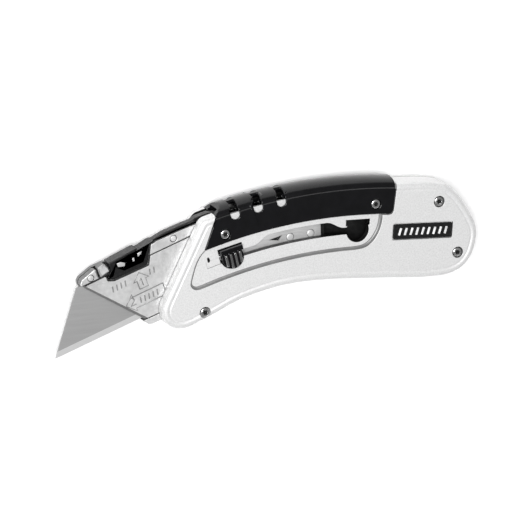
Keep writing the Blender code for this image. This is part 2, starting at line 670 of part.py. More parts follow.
def release_lever(pivot_at):
    hood = [(26.8, 17.0), (24.7, 17.8), (24.9, 18.1), (26.7, 18.3), (26.7, 22.8)]
    rail_low = BAR_TOP_H + GAP
    outline = [blade(s, p) for s, p in hood]
    outline += [blade(30.0, 23.0), blade(38.0, 23.5)]
    outline += run(56.0, 46.5, LEVER_TOP_H)
    outline += [track(45.5, LEVER_TOP_H + 0.5), track(41.0, LEVER_TOP_H + 0.5)]
    outline += run(40.0, BAR_REAR_A + 0.2, LEVER_TOP_H)
    outline += [track(BAR_REAR_A + 0.2, 10.6), track(PIVOT_A - 1.0, 10.6),
                track(PIVOT_A - 0.9, 8.6)]
    outline += [track(PIVOT_A + 1.0, 8.6), track(PIVOT_A + 1.9, rail_low)]
    outline += run(PIVOT_A + 2.2, 57.5, rail_low)
    outline += [blade(41.5, 22.9), blade(38.5, 16.8)]
    body = prism(outline, CARRIER_LOW_Z, CARRIER_TOP_Z)
    side = [blade(43.0, 10.0), blade(43.0, 30.0), track(20.0, 30.0), track(20.0, 0.0)]
    near_cut = prism(side, MID_Z + RAIL_HALF_WIDTH, CARRIER_TOP_Z + 1)
    far_cut = prism(side, CARRIER_LOW_Z - 1, MID_Z - RAIL_HALF_WIDTH)
    fork = prism([blade(s, p) for s, p in ((20, 10), (45, 10), (45, 19.4), (20, 19.4))],
                 POCKET_LOW_Z, POCKET_TOP_Z)
    window = [blade(s, p) for s, p in ((29.4, 19.9), (37.6, 20.2), (38.3, 22.5), (29.4, 22.1))]
    window_cut = prism(window, CARRIER_LOW_Z - 1.2, CARRIER_TOP_Z + 1.2)
    bore = rod(PIVOT, PIVOT_RADIUS + PIN_CLEARANCE, CARRIER_LOW_Z - 1, CARRIER_TOP_Z + 1)
    finish("release_lever", body, "black_plastic", pivot_at,
           cuts=[near_cut, far_cut, fork, window_cut, bore])


def lever_spring(pivot_at):
    """A small coil under the lever's rear end, wound about a line square to the track."""
    wire = 0.18
    turns = 4
    top_h = 10.3 - wire
    low_h = 4.6 + GAP + wire
    a = BAR_REAR_A + 1.4
    curve = bpy.data.curves.new("lever_spring", "CURVE")
    curve.dimensions = "3D"
    curve.bevel_depth = wire / 1000
    curve.bevel_resolution = 1
    curve.use_fill_caps = True
    line = curve.splines.new("POLY")
    count = turns * 12
    line.points.add(count)
    for i in range(count + 1):
        angle = 2 * math.pi * turns * i / count
        h = low_h + (top_h - low_h) * i / count
        x, y = track(a + 0.85 * math.cos(angle), h)
        spot = world((x, y), MID_Z + 0.85 * math.sin(angle)) - pivot_at.location
        line.points[i].co = (*spot, 1)
    made = bpy.data.objects.new("lever_spring", curve)
    curve.materials.append(material("lever_spring", "spring_steel"))
    made.parent = pivot_at
    bpy.context.scene.collection.objects.link(made)


def blade_plate(pivot_at):
    start = (BLADE_LENGTH - BLADE_BACK_LENGTH) / 2
    middle = BLADE_LENGTH / 2
    corners = [(0, 0), (BLADE_LENGTH, 0), (BLADE_LENGTH - start, BLADE_HEIGHT)]
    for side in (1, -1):
        notch = middle + side * 5.5
        corners += [(notch + 1.75, BLADE_HEIGHT), (notch + 1.2, BLADE_HEIGHT - 1.8),
                    (notch - 1.2, BLADE_HEIGHT - 1.8), (notch - 1.75, BLADE_HEIGHT)]
    corners.append((start, BLADE_HEIGHT))
    half = BLADE_THICKNESS / 2
    body = prism([blade(s, p) for s, p in corners], MID_Z - half, MID_Z + half)
    grind = []
    for side in (1, -1):
        bm = bmesh.new()
        wedge = [(-0.2, side * 0.04), (2.0, side * half), (2.0, side * 2), (-0.2, side * 2)]
        rings = []
        for s in (-5, BLADE_LENGTH + 5):
            rings.append([bm.verts.new((*blade(s, p), MID_Z + z)) for p, z in wedge])
        for k in range(4):
            m = (k + 1) % 4
            bm.faces.new((rings[0][k], rings[0][m], rings[1][m], rings[1][k]))
        bm.faces.new(rings[0])
        bm.faces.new(rings[1])
        bmesh.ops.recalc_face_normals(bm, faces=bm.faces)
        grind.append(bm)
    finish("blade", body, "blade_steel", pivot_at, cuts=grind)


def main():
    for old in list(bpy.data.objects):
        bpy.data.objects.remove(old, do_unlink=True)
    track_centre = pivot("track_centre", (0, -TRACK_RADIUS))
    lever_pivot = pivot("lever_pivot", PIVOT, MID_Z)
    button_centre = pivot("button_centre", track(BUTTON_A, BUTTON_H))
    blade_tip = pivot("blade_tip", blade(0, 0), MID_Z)
    near_shell()
    far_cover()
    spine_saddle()
    badge_plate()
    screws()
    carrier_frame(track_centre)
    carrier_cover(track_centre)
    nose_blocks(track_centre)
    carrier_rivets(track_centre)
    lock_spring(track_centre)
    thumb_button(button_centre)
    release_lever(lever_pivot)
    lever_spring(lever_pivot)
    blade_plate(blade_tip)


main()
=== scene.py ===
"""Looks for a pocket utility knife whose blade carrier slides out along an arc.

Every piece is drawn in millimetres on the side view and put into the frame's metres when it is
finished. track(a, h) measures along the arc that the carrier follows: a runs towards the blade
and h outwards. blade(s, p) measures along the cutting edge from the tip, and up from it. z is 0
at the handle's near face and negative into the knife.
"""
import json
import math

import bmesh
import bpy
from bpy.props import FloatProperty, FloatVectorProperty, IntProperty, PointerProperty
from bpy.types import Operator, Panel, PropertyGroup
from mathutils import Matrix, Vector


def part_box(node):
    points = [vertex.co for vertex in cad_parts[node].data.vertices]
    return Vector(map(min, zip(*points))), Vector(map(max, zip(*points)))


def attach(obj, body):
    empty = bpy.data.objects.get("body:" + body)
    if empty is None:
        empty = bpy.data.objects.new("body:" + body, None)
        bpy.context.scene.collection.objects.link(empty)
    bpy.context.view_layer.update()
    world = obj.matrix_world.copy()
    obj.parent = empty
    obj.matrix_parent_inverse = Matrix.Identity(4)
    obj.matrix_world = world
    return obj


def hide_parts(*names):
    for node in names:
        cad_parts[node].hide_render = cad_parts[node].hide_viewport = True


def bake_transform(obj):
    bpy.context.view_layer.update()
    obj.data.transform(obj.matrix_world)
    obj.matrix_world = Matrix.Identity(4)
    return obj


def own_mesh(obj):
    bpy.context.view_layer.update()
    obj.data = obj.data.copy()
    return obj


bl_info = {
    "name": "Arc-slide utility knife",
    "version": (1, 0, 0),
    "blender": (4, 5, 0),
    "location": "View3D > Sidebar > Knife",
    "description": "Builds the visible pieces of a utility knife around its packed frame",
    "category": "Object",
}

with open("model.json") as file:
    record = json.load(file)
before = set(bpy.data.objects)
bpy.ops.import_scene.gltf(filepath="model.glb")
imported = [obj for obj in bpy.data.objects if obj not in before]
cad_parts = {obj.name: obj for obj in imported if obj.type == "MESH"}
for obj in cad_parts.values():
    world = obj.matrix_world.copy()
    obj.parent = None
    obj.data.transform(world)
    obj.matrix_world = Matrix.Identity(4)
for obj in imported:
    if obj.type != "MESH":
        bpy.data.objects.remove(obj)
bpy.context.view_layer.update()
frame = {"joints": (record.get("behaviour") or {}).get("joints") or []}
JOINTS = {joint["name"]: joint for joint in frame["joints"]}

TRACK_RADIUS = 165.4
ARC_CENTRE = Vector(JOINTS["carrier_slide"]["pos_m"]) * 1000
NEAR_FACE_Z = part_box("near_shell")[1].z * 1000
OFFSET = Vector((ARC_CENTRE.x, ARC_CENTRE.y + TRACK_RADIUS, NEAR_FACE_Z))
THICKNESS = (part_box("near_shell")[1].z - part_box("far_cover")[0].z) * 1000
MID_Z = -THICKNESS / 2
CARRIER_TOP_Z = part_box("carrier_frame")[1].z * 1000 - NEAR_FACE_Z
CARRIER_LOW_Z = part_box("carrier_frame")[0].z * 1000 - NEAR_FACE_Z
SHELL_LOW_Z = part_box("near_shell")[0].z * 1000 - NEAR_FACE_Z
COVER_TOP_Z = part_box("far_cover")[1].z * 1000 - NEAR_FACE_Z
BLADE_THICKNESS = (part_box("blade")[1].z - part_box("blade")[0].z) * 1000
TRAVEL = math.radians(JOINTS["carrier_slide"]["range_deg"][1]) * TRACK_RADIUS

# places along the arc and across it, in millimetres, shared by several pieces
GAP = 0.3
FLOOR_H = -13.4
SADDLE_LOW_H = 4.1
CREASE_H = 12.6
SHELL_TOP_H = 12.5
HANDLE_TOP_H = 14.1
CROWN_TOP_H = 15.6
SADDLE_REAR_A = -18.0
BUTTON_A = 38.1
BUTTON_H = -1.4
TAIL_END_A = 4.0
SLOT_FRONT_A = 42.2
SLOT_TOP_H = -0.2
SLOT_LOW_H = -2.45
SLOT_WIDE_H = 2.1
DISH_DRAFT = 0.9
DISH_WALL_RISE = 1.15
REAR_A = TAIL_END_A - TRAVEL
BUTTON_REAR_A = BUTTON_A - TRAVEL
POCKET_TOP_Z = MID_Z + BLADE_THICKNESS / 2 + GAP
POCKET_LOW_Z = MID_Z - BLADE_THICKNESS / 2 - GAP
VENT_FRONT_A = 34.3
VENT_LOW_H = 10.6
VENT_FLOOR_H = 13.15
VENT_LEAN = 2.2
VENT_NARROWING = 0.25
VENT_DEPTH = 1.4
VENT_RIB_HALF = 0.9
BLADE_LENGTH = 62.0
BLADE_HEIGHT = 19.0
BLADE_TANGENT_A = 56.6
BLADE_TANGENT_S = 46.4
BLADE_BACK_H = 8.7
BAR_TOP_P = 22.9
BAR_TOP_H = 12.3
BAR_REAR_A = 31.0
LEVER_TOP_H = 13.5
PIVOT_A = 34.6
PIVOT_H = 9.9
HOLE_RADIUS = 1.15
SPRING_HOLE_RADIUS = 1.35
PIVOT_HOLE_RADIUS = 0.95
WELL_PLAY = 0.2
WELL_DEPTH = 1.0
ABOVE_CROWN_H = 20.0
FAR_OUT = 30.0

SHARP_ANGLE = math.radians(38)  # an edge that turns more than this stays sharp
SAME_LEVEL = 1e-5

# the stage, in metres where no other unit is named
CAMERA_AIM_MM = (-26.5, -9.4, 0)
CAMERA_TOWARD = (-0.3514, 0.2840, 0.8921)
CAMERA_UPWARD = (0.1041, 0.9588, -0.2643)
CAMERA_LENS_MM = 210.95
CAMERA_CLIP_END = 10
FLOOR_HALF = 6.0
FLOOR_Z = -0.0006
LIGHT_DISTANCE = 1.2


# ---------------------------------------------------------------- places on the side view

def track(a, h):
    angle = a / TRACK_RADIUS
    radius = TRACK_RADIUS + h
    return (-radius * math.sin(angle), radius * math.cos(angle) - TRACK_RADIUS)


def blade(s, p):
    slope = BLADE_TANGENT_A / TRACK_RADIUS
    x, y = track(BLADE_TANGENT_A, BLADE_BACK_H)
    ds = s - BLADE_TANGENT_S
    dp = p - BLADE_HEIGHT
    return (x + ds * math.cos(slope) - dp * math.sin(slope),
            y + ds * math.sin(slope) + dp * math.cos(slope))


BLADE_TURN = BLADE_TANGENT_A / TRACK_RADIUS
PIVOT = track(PIVOT_A, PIVOT_H)
NOSE_RIVET = blade(19.7, 20.8)
REAR_RIVET = blade(49.4, 21.0)
SPRING_RIVETS = (track(16.3, BUTTON_H), track(9.1, BUTTON_H))
HANDLE_SCREWS = {"front_lower": track(52.8, -15.6), "rear_upper": track(REAR_A + 7.2, 9.1),
                 "rear_lower": track(REAR_A - 3.7, -6.8)}
SADDLE_SCREWS = {"front": track(38.8, 6.9), "rear": track(SADDLE_REAR_A + 6.2, 7.4)}
BADGE_MIDDLE = track(REAR_A + 11.1, -1.1)
BADGE_TURN = math.radians(-3.5)


def run(a_from, a_to, h_from, h_to=None, step=2.0):
    """Points along the track, with h eased between its two ends."""
    h_to = h_from if h_to is None else h_to
    count = max(2, math.ceil(abs(a_to - a_from) / step))
    points = []
    for i in range(count + 1):
        t = i / count
        ease = t * t * (3 - 2 * t)
        points.append(track(a_from + t * (a_to - a_from), h_from + ease * (h_to - h_from)))
    return points


def spline(points, per_span=6):
    """A smooth curve through points, without its last point."""
    ends = [points[0]] + list(points) + [points[-1]]
    curve = []
    for i in range(len(points) - 1):
        a, b, c, d = (Vector(p) for p in ends[i:i + 4])
        for k in range(per_span):
            t = k / per_span
            curve.append(tuple(0.5 * (2 * b + (c - a) * t + (2 * a - 5 * b + 4 * c - d) * t ** 2
                                      + (3 * b - 3 * c + d - a) * t ** 3)))
    return curve


def arc(centre, radius, start_deg, end_deg, count):
    points = []
    for i in range(count + 1):
        angle = math.radians(start_deg + (end_deg - start_deg) * i / count)
        points.append((centre[0] + radius * math.cos(angle),
                       centre[1] + radius * math.sin(angle)))
    return points


def circle(centre, radius, sides=40):
    return arc(centre, radius, 0, 360 * (sides - 1) / sides, sides - 1)


def rounded(corners, radius, count=5):
    """An outline with its corners filleted; radius is one number or one for each corner."""
    radii = [radius] * len(corners) if isinstance(radius, (int, float)) else radius
    outline = []
    for i, corner in enumerate(corners):
        here = Vector(corner)
        before = Vector(corners[i - 1]) - here
        after = Vector(corners[(i + 1) % len(corners)]) - here
        half = before.angle(after) / 2
        size = min(radii[i], 0.45 * min(before.length, after.length) * math.tan(half))
        if size < 0.03:
            outline.append(corner)
            continue
        reach = size / math.tan(half)
        start = here + before.normalized() * reach
        end = here + after.normalized() * reach
        for k in range(count + 1):
            t = k / count
            outline.append(tuple((1 - t) ** 2 * start + 2 * t * (1 - t) * here + t * t * end))
    return outline


def rectangle(middle, length, width, turn, corner=0.6):
    spin = Matrix.Rotation(turn, 2)
    corners = [Vector(middle) + spin @ Vector((x * length / 2, y * width / 2))
               for x, y in ((-1, -1), (1, -1), (1, 1), (-1, 1))]
    return rounded([tuple(c) for c in corners], corner)


def handle_outline():
    """The handle's closed side view, with its front edge sloping back to the spine."""
    nose = [(63.6, -5.2), (66.4, -8.0), (67.4, -12.0), (65.4, -15.7), (60.5, -17.9), (50.0, -17.6),
            (38.6, -16.3), (23.0, -15.9), (6.6, -16.8)]
    tail = [(24.7, -17.8), (7.9, -17.0), (-2.9, -14.6), (-8.2, -10.2), (-9.7, -4.3), (-8.1, 2.8),
            (-1.5, 10.0), (4.5, 14.4), (8.0, 15.1), (14.5, 14.8), (22.5, HANDLE_TOP_H)]
    low = [track(a, h) for a, h in nose] + [track(REAR_A + a, h) for a, h in tail]
    top = run(REAR_A + 22.5, 39.0, HANDLE_TOP_H)
    front = rounded([top[-1], track(44.7, HANDLE_TOP_H), low[0]], [0, 4.0, 0], 8)[1:-1]
    return spline(low) + top + front


def saddle_side(grow=0.0):
    """The saddle's side view, from its lower edge up past the crown."""
    rear = SADDLE_REAR_A - grow
    low = SADDLE_LOW_H - grow
    bottom = run(44.9 + grow, SADDLE_REAR_A + 4.0, low)
    corner = rounded([bottom[-1], track(rear + 0.2, low), track(rear, 14.0)],
                     [0, 4.2 + grow, 0], 8)[1:-1]
    back = [track(rear, 14.0), track(rear, ABOVE_CROWN_H)]
    front = [track(36.6 + grow, ABOVE_CROWN_H), track(36.8 + grow, 16.0),
             track(40.0 + grow, 13.8)]
    toe = rounded([front[-1], track(46.7 + grow, low), bottom[0]], [0, 0.9 + grow, 0])[1:-1]
    return bottom + corner + back + front + toe


def shell_top_cut():
    rear = SADDLE_REAR_A - GAP - 0.1
    return run(40.4, rear, SHELL_TOP_H) + [track(rear, FAR_OUT), track(40.4, FAR_OUT)]


def cavity_outline():
    floor = run(75.0, REAR_A + 2.0, FLOOR_H)
    rear = [(-0.8, FLOOR_H), (-0.8, -4.0), (-5.4, -3.2), (-5.4, 2.0), (-0.5, 6.0), (9.6, 6.2),
            (10.4, 11.0)]
    top = [track(SADDLE_REAR_A + 2.0, 11.2), track(SADDLE_REAR_A + 2.0, FAR_OUT),
           track(85.0, FAR_OUT)]
    return floor + [track(REAR_A + a, h) for a, h in rear] + top


def recess_outline():
    """The shallow dish round the slot, open under the saddle's lower edge."""
    rear = BUTTON_REAR_A
    top_h = SADDLE_LOW_H + 0.5
    low = run(50.5, rear + 1.5, -7.6)
    back = [low[-1]] + [track(rear + a, h) for a, h in ((-2.6, -7.0), (-5.4, -4.9), (-7.3, -1.6),
                                                       (-8.0, 2.0), (-7.9, top_h))]
    top = run(rear - 7.9, 46.0, top_h)
    front = [top[-1]] + [track(a, h) for a, h in ((48.2, 3.4), (50.6, 1.2), (53.2, -2.4),
                                                  (54.6, -5.0), (53.4, -7.1))] + [low[0]]
    return low + spline(back, 4)[1:] + top + spline(front, 4)[1:]


def slot_outline():
    """The way of the button's neck, wider over the middle where the lock spring shows."""
    top = run(SLOT_FRONT_A, 30.0, SLOT_TOP_H)
    rise = run(30.0, 24.0, SLOT_TOP_H, SLOT_WIDE_H, 0.6)[1:]
    middle = run(24.0, 4.5, SLOT_WIDE_H)[1:]
    fall = run(4.5, -1.5, SLOT_WIDE_H, SLOT_TOP_H, 0.6)[1:]
    neck = run(-1.5, BUTTON_REAR_A, SLOT_TOP_H)[1:]
    return top + rise + middle + fall + neck + run(BUTTON_REAR_A, SLOT_FRONT_A, SLOT_LOW_H)


def slot_end_mark():
    """The small drilled pit at the front end of the slot's shallow track."""
    return [track(45.9 + 0.42 * x, 0.2 + 0.95 * y) for x, y in circle((0, 0), 1.0, 24)]


def keyhole(a_middle, grow=0.0):
    """The button's outline: a round pad with a straight bar across its top."""
    pad = [(a_middle - x, BUTTON_H + y) for x, y in arc((0, 0), 3.7 + grow, 155, 385, 24)]
    half = 3.85 + grow
    bar = [(a_middle - half, 0.4 - grow * 0.5), (a_middle - half, 2.0 + grow),
           (a_middle + half, 2.0 + grow), (a_middle + half, 0.4 - grow * 0.5)]
    return [track(a, h) for a, h in pad + bar]


# ---------------------------------------------------------------- solids

def plate(outline, z_low, z_high, round_top=0.0, segments=4):
    """A solid of the given outline, with its upper edges rounded when asked."""
    bm = bmesh.new()
    corners = [bm.verts.new((x, y, z_low)) for x, y in outline]
    edges = [bm.edges.new((a, b)) for a, b in zip(corners, corners[1:] + corners[:1])]
    faces = bmesh.ops.edgeloop_fill(bm, edges=edges)["faces"]
    grown = bmesh.ops.extrude_face_region(bm, geom=faces)["geom"]
    top = [g for g in grown if isinstance(g, bmesh.types.BMVert)]
    bmesh.ops.translate(bm, verts=top, vec=(0, 0, z_high - z_low))
    bmesh.ops.recalc_face_normals(bm, faces=bm.faces)
    if round_top:
        ring = [e for e in bm.edges if all(abs(v.co.z - z_high) < SAME_LEVEL for v in e.verts)]
        bmesh.ops.bevel(bm, geom=ring, offset=round_top, segments=segments, profile=0.5,
                        affect="EDGES", material=-1)
    return bm


def rod(centre, radius, z_low, z_high):
    return plate(circle(centre, radius), z_low, z_high)


def turned(profile, centre, sides):
    """A solid of revolution about an upright line; profile is (radius, z) from axis to axis."""
    bm = bmesh.new()
    verts = [bm.verts.new((centre[0] + r, centre[1], z)) for r, z in profile]
    edges = [bm.edges.new(pair) for pair in zip(verts, verts[1:])]
    bmesh.ops.spin(bm, geom=verts + edges, cent=(*centre, 0), axis=(0, 0, 1),
                   angle=2 * math.pi, steps=sides, use_merge=True)
    bmesh.ops.remove_doubles(bm, verts=bm.verts, dist=1e-4)
    bmesh.ops.recalc_face_normals(bm, faces=bm.faces)
    return bm


def together(parts):
    """One mesh from several that don't touch each other."""
    whole = bmesh.new()
    for part in parts:
        mesh = bpy.data.meshes.new("part")
        part.to_mesh(mesh)
        part.free()
        whole.from_mesh(mesh)
        bpy.data.meshes.remove(mesh)
    return whole


def combine(bm, *steps):
    """Cut, add or keep other closed solids in turn; each step is (operation, solid)."""
    base = loose_object("base", bm)
    tools = []
    for operation, tool in steps:
        tools.append(loose_object("tool", tool))
        change = base.modifiers.new(operation, "BOOLEAN")
        change.operation = operation
        change.solver = "MANIFOLD"
        change.object = tools[-1]
    graph = bpy.context.evaluated_depsgraph_get()
    result = bpy.data.meshes.new_from_object(base.evaluated_get(graph))
    made = bmesh.new()
    made.from_mesh(result)
    bpy.data.meshes.remove(result)
    for old in [base] + tools:
        mesh = old.data
        bpy.data.objects.remove(old)
        bpy.data.meshes.remove(mesh)
    return made


def loose_object(name, bm):
    mesh = bpy.data.meshes.new(name)
    bm.to_mesh(mesh)
    bm.free()
    made = bpy.data.objects.new(name, mesh)
    bpy.context.scene.collection.objects.link(made)
    return made


def in_frame(point):
    """A place in the drawing's millimetres, given in the frame's metres."""
    return (Vector(point) + OFFSET) / 1000


def to_frame(bm):
    """A mesh drawn in millimetres, turned to the frame's metres."""
    bmesh.ops.translate(bm, verts=bm.verts, vec=OFFSET)
    bmesh.ops.scale(bm, verts=bm.verts, vec=(0.001, 0.001, 0.001))


def paint(bm, index, rule):
    """Give the faces that a rule picks another of the piece's materials."""
    bm.normal_update()
    for face in bm.faces:
        if rule(face.calc_center_median(), face.normal):
            face.material_index = index
    return bm


def depth_inside(point, outline):
    """How far a place lies from an outline, in millimetres."""
    here = Vector((point.x, point.y))
    nearest = math.inf
    for a, b in zip(outline, outline[1:] + outline[:1]):
        start = Vector(a)
        way = Vector(b) - start
        share = max(0.0, min(1.0, (here - start).dot(way) / max(way.length_squared, 1e-12)))
        nearest = min(nearest, (here - start - way * share).length)
    return nearest


def shade(made):
    made.data.shade_smooth()
    made.data.set_sharp_from_angle(angle=SHARP_ANGLE)


def finish_piece(name, bm, looks, body, nodes, soften=0.0, segments=2):
    """Make the object, soften its sharp edges, tie it to its body, and hide the frame's nodes that
    it stands in for.
    """
    to_frame(bm)
    made = loose_object(name, bm)
    if soften:
        edge = made.modifiers.new("soft edges", "BEVEL")
        edge.width = soften / 1000
        edge.segments = segments
        edge.limit_method = "ANGLE"
        edge.angle_limit = SHARP_ANGLE
        edge.use_clamp_overlap = False
        edge.miter_outer = "MITER_ARC"
        flat = made.modifiers.new("flat faces", "WEIGHTED_NORMAL")
        flat.keep_sharp = True
    for each in looks if isinstance(looks, list) else [looks]:
        made.data.materials.append(each)
    shade(made)
    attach(made, body)
    if nodes:
        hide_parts(*nodes)


def rolled_edge(bm, level, width, rise, segments=6):
    """Raise the flat face at a level over a quarter ellipse, width inwards and rise outwards."""
    bm.faces.ensure_lookup_table()
    face = next(f for f in bm.faces if all(abs(v.co.z - level) < SAME_LEVEL for v in f.verts))
    done_in, done_up = 0.0, 0.0
    for k in range(1, segments + 1):
        angle = math.pi / 2 * k / segments
        inwards = width * (1 - math.cos(angle))
        upwards = rise * math.sin(angle)
        bmesh.ops.inset_region(bm, faces=[face], thickness=inwards - done_in,
                               depth=upwards - done_up, use_even_offset=True)
        done_in, done_up = inwards, upwards
    return bm


def beaded_edge(bm, level, width, rise, depth):
    """A rolled edge with a shallow valley inside it, as on a casting with a raised rim."""
    rolled_edge(bm, level, width, rise)
    top = level + rise if level > MID_Z else level - rise
    many = 40  # the rim's own faces have four corners each
    face = next(f for f in bm.faces if len(f.verts) > many
                and all(abs(v.co.z - top) < 10 * SAME_LEVEL for v in f.verts))
    for inwards, upwards in ((0.35, 0), (0.3, -depth * 0.75), (0.3, -depth * 0.25),
                             (0.25, depth * 0.35), (0.25, depth * 0.65)):
        bmesh.ops.inset_region(bm, faces=[face], thickness=inwards, depth=upwards,
                               use_even_offset=True)
    return bm


def swept(profile, a_from, a_to, steps=80):
    """A solid made by turning a (z, h) section about the track's centre."""
    bm = bmesh.new()
    section = [bm.verts.new((*track(a_from, h), z)) for z, h in profile]
    face = bm.faces.new(section)
    bmesh.ops.spin(bm, geom=[face], cent=(0, -TRACK_RADIUS, 0), axis=(0, 0, 1),
                   angle=(a_to - a_from) / TRACK_RADIUS, steps=steps)
    bmesh.ops.recalc_face_normals(bm, faces=bm.faces)
    return bm


def cutters(outlines, z_low, z_high):
    return together([plate(outline, z_low, z_high) for outline in outlines])


def bores(points, radius, z_low, z_high):
    return cutters([circle(p, radius) for p in points], z_low, z_high)


def wire(name, radius, lines):
    """A curve of round wire along lines of places in the drawing."""
    data = bpy.data.curves.new(name, "CURVE")
    data.dimensions = "3D"
    data.bevel_depth = radius / 1000
    data.bevel_resolution = 3
    data.use_fill_caps = True
    for points in lines:
        line = data.splines.new("POLY")
        line.points.add(len(points) - 1)
        for spot, point in zip(line.points, points):
            spot.co = (*in_frame(point), 1)
    made = bpy.data.objects.new(name, data)
    bpy.context.scene.collection.objects.link(made)
    return made


# ---------------------------------------------------------------- materials

def linear(code):
    """A colour given as sRGB hex digits, turned to linear values."""
    values = [int(code[i:i + 2], 16) / 255 for i in (0, 2, 4)]
    return [v / 12.92 if v <= 0.04045 else ((v + 0.055) / 1.055) ** 2.4 for v in values]


def add(tree, kind, inputs=None, **settings):
    """Add a node; inputs gives each socket a value, or the output that feeds it."""
    made = tree.nodes.new(kind)
    for name, value in settings.items():
        setattr(made, name, value)
    for socket, value in (inputs or {}).items():
        if isinstance(value, bpy.types.NodeSocket):
            tree.links.new(value, made.inputs[socket])
        else:
            made.inputs[socket].default_value = value
    return made


def start_material(name, colour, **sockets):
    """A new Principled material; returns it with its node tree, shader and Object position."""
    made = bpy.data.materials.new(name)
    made.use_nodes = True
    tree = made.node_tree
    shader = tree.nodes["Principled BSDF"]
    shader.inputs["Base Color"].default_value = (*colour, 1)
    for socket, value in sockets.items():
        shader.inputs[socket.replace("_", " ")].default_value = value
    place = add(tree, "ShaderNodeTexCoord").outputs["Object"]
    return made, tree, shader, place


def speckle(tree, place, size_mm, low, high, detail=2.0):
    """Noise of a real size, spread between two values; returns the output that carries it."""
    noise = add(tree, "ShaderNodeTexNoise", {"Vector": place, "Scale": 1000 / size_mm,
                                             "Detail": detail, "Roughness": 0.6})
    spread = add(tree, "ShaderNodeMapRange", {"Value": noise.outputs["Fac"], "From Min": 0.3,
                                              "From Max": 0.7, "To Min": low, "To Max": high})
    return spread.outputs["Result"]


def shaded(tree, shader, colour, factor):
    """Multiply a colour by a factor that varies over the surface.

    The node's inputs 0, 6 and 7 are the share and the two colours, and output 2 is the colour.
    """
    mix = add(tree, "ShaderNodeMix", {0: 1.0, 6: (*colour, 1), 7: factor}, data_type="RGBA",
              blend_type="MULTIPLY")
    tree.links.new(mix.outputs[2], shader.inputs["Base Color"])


def bumped(tree, shader, height, distance_mm):
    bump = add(tree, "ShaderNodeBump", {"Height": height, "Distance": distance_mm / 1000,
                                        "Strength": 1.0})
    tree.links.new(bump.outputs["Normal"], shader.inputs["Normal"])


def uneven(tree, shader, rough):
    tree.links.new(rough, shader.inputs["Roughness"])


def silver_lacquer(name, colour):
    """Silver lacquer sprayed on die-cast zinc: pale, satin, with a fine sparkle and orange peel.

    Real flake is some 0.05 mm wide; it is drawn at 0.45 mm so that it shows.
    """
    made, tree, shader, place = start_material(name, colour, Metallic=0.25, Roughness=0.42,
                                               Coat_Weight=0.25, Coat_Roughness=0.25)
    shaded(tree, shader, colour, speckle(tree, place, 0.45, 0.86, 1.05, 3.0))
    uneven(tree, shader, speckle(tree, place, 0.7, 0.36, 0.5))
    bumped(tree, shader, speckle(tree, place, 0.9, 0.0, 1.0, 3.0), 0.012)
    return made


def black_enamel(name, colour):
    """Stoved black enamel on pressed steel: deep, glossy, with a slow ripple and faint rubs."""
    made, tree, shader, place = start_material(name, colour, Roughness=0.24, Coat_Weight=0.12,
                                               Coat_Roughness=0.12, Specular_IOR_Level=0.3)
    uneven(tree, shader, speckle(tree, place, 5.0, 0.16, 0.27, 5.0))
    shaded(tree, shader, colour, speckle(tree, place, 3.0, 0.8, 1.25))
    bumped(tree, shader, speckle(tree, place, 2.2, 0.0, 1.0), 0.006)
    return made


def cast_zinc(name, colour, metal=0.45):
    """Bare die-cast zinc, tumbled: a mottled satin metal with a fine rough skin.

    A full metal would only mirror the plain room, so Metallic is held at about half: that is
    a choice of look. The skin's real grain of 0.1 mm is drawn at 0.5 mm so that it shows.
    """
    made, tree, shader, place = start_material(name, colour, Metallic=metal, Roughness=0.42)
    shaded(tree, shader, colour, speckle(tree, place, 3.5, 0.82, 1.06, 4.0))
    uneven(tree, shader, speckle(tree, place, 1.1, 0.34, 0.52, 4.0))
    bumped(tree, shader, speckle(tree, place, 0.5, 0.0, 1.0, 4.0), 0.02)
    return made


def ground_steel(name, colour, turn, spacing_mm, roughness):
    """Ground carbon steel: grey, with fine straight scratches left by the wheel.

    Real scratches are some 0.03 mm apart and are drawn wider so that they show. Metallic is
    held at a half, for the same reason as on the zinc.
    """
    stretch = 40
    made, tree, shader, place = start_material(name, colour, Metallic=0.5, Roughness=roughness)
    along = add(tree, "ShaderNodeMapping", {"Vector": place, "Rotation": (0, 0, -turn),
                                            "Scale": (1, stretch, stretch)}).outputs["Vector"]
    lines = speckle(tree, along, spacing_mm * stretch, 0.96, 1.03, 4.0)
    shaded(tree, shader, colour, lines)
    uneven(tree, shader, speckle(tree, along, spacing_mm * 70, roughness - 0.05,
                                 roughness + 0.07))
    bumped(tree, shader, lines, 0.004)
    return made


def plated_steel(name, colour, roughness=0.2):
    """Bright zinc-plated or chromed steel: mirror-like, with small dull patches."""
    made, tree, shader, place = start_material(name, colour, Metallic=1.0, Roughness=roughness)
    uneven(tree, shader, speckle(tree, place, 0.8, roughness * 0.7, roughness * 1.5, 3.0))
    shaded(tree, shader, colour, speckle(tree, place, 1.4, 0.85, 1.08))
    return made


def rolled_spring_steel(name, colour):
    """Cold-rolled spring strip: mid grey with long soft streaks from rolling.

    Metallic is held near a half, for the same reason as on the zinc.
    """
    made, tree, shader, place = start_material(name, colour, Metallic=0.55, Roughness=0.42)
    along = add(tree, "ShaderNodeMapping", {"Vector": place, "Scale": (1, 12, 12)})
    streaks = speckle(tree, along.outputs["Vector"], 4.0, 0.84, 1.06, 3.0)
    shaded(tree, shader, colour, streaks)
    bumped(tree, shader, streaks, 0.004)
    return made


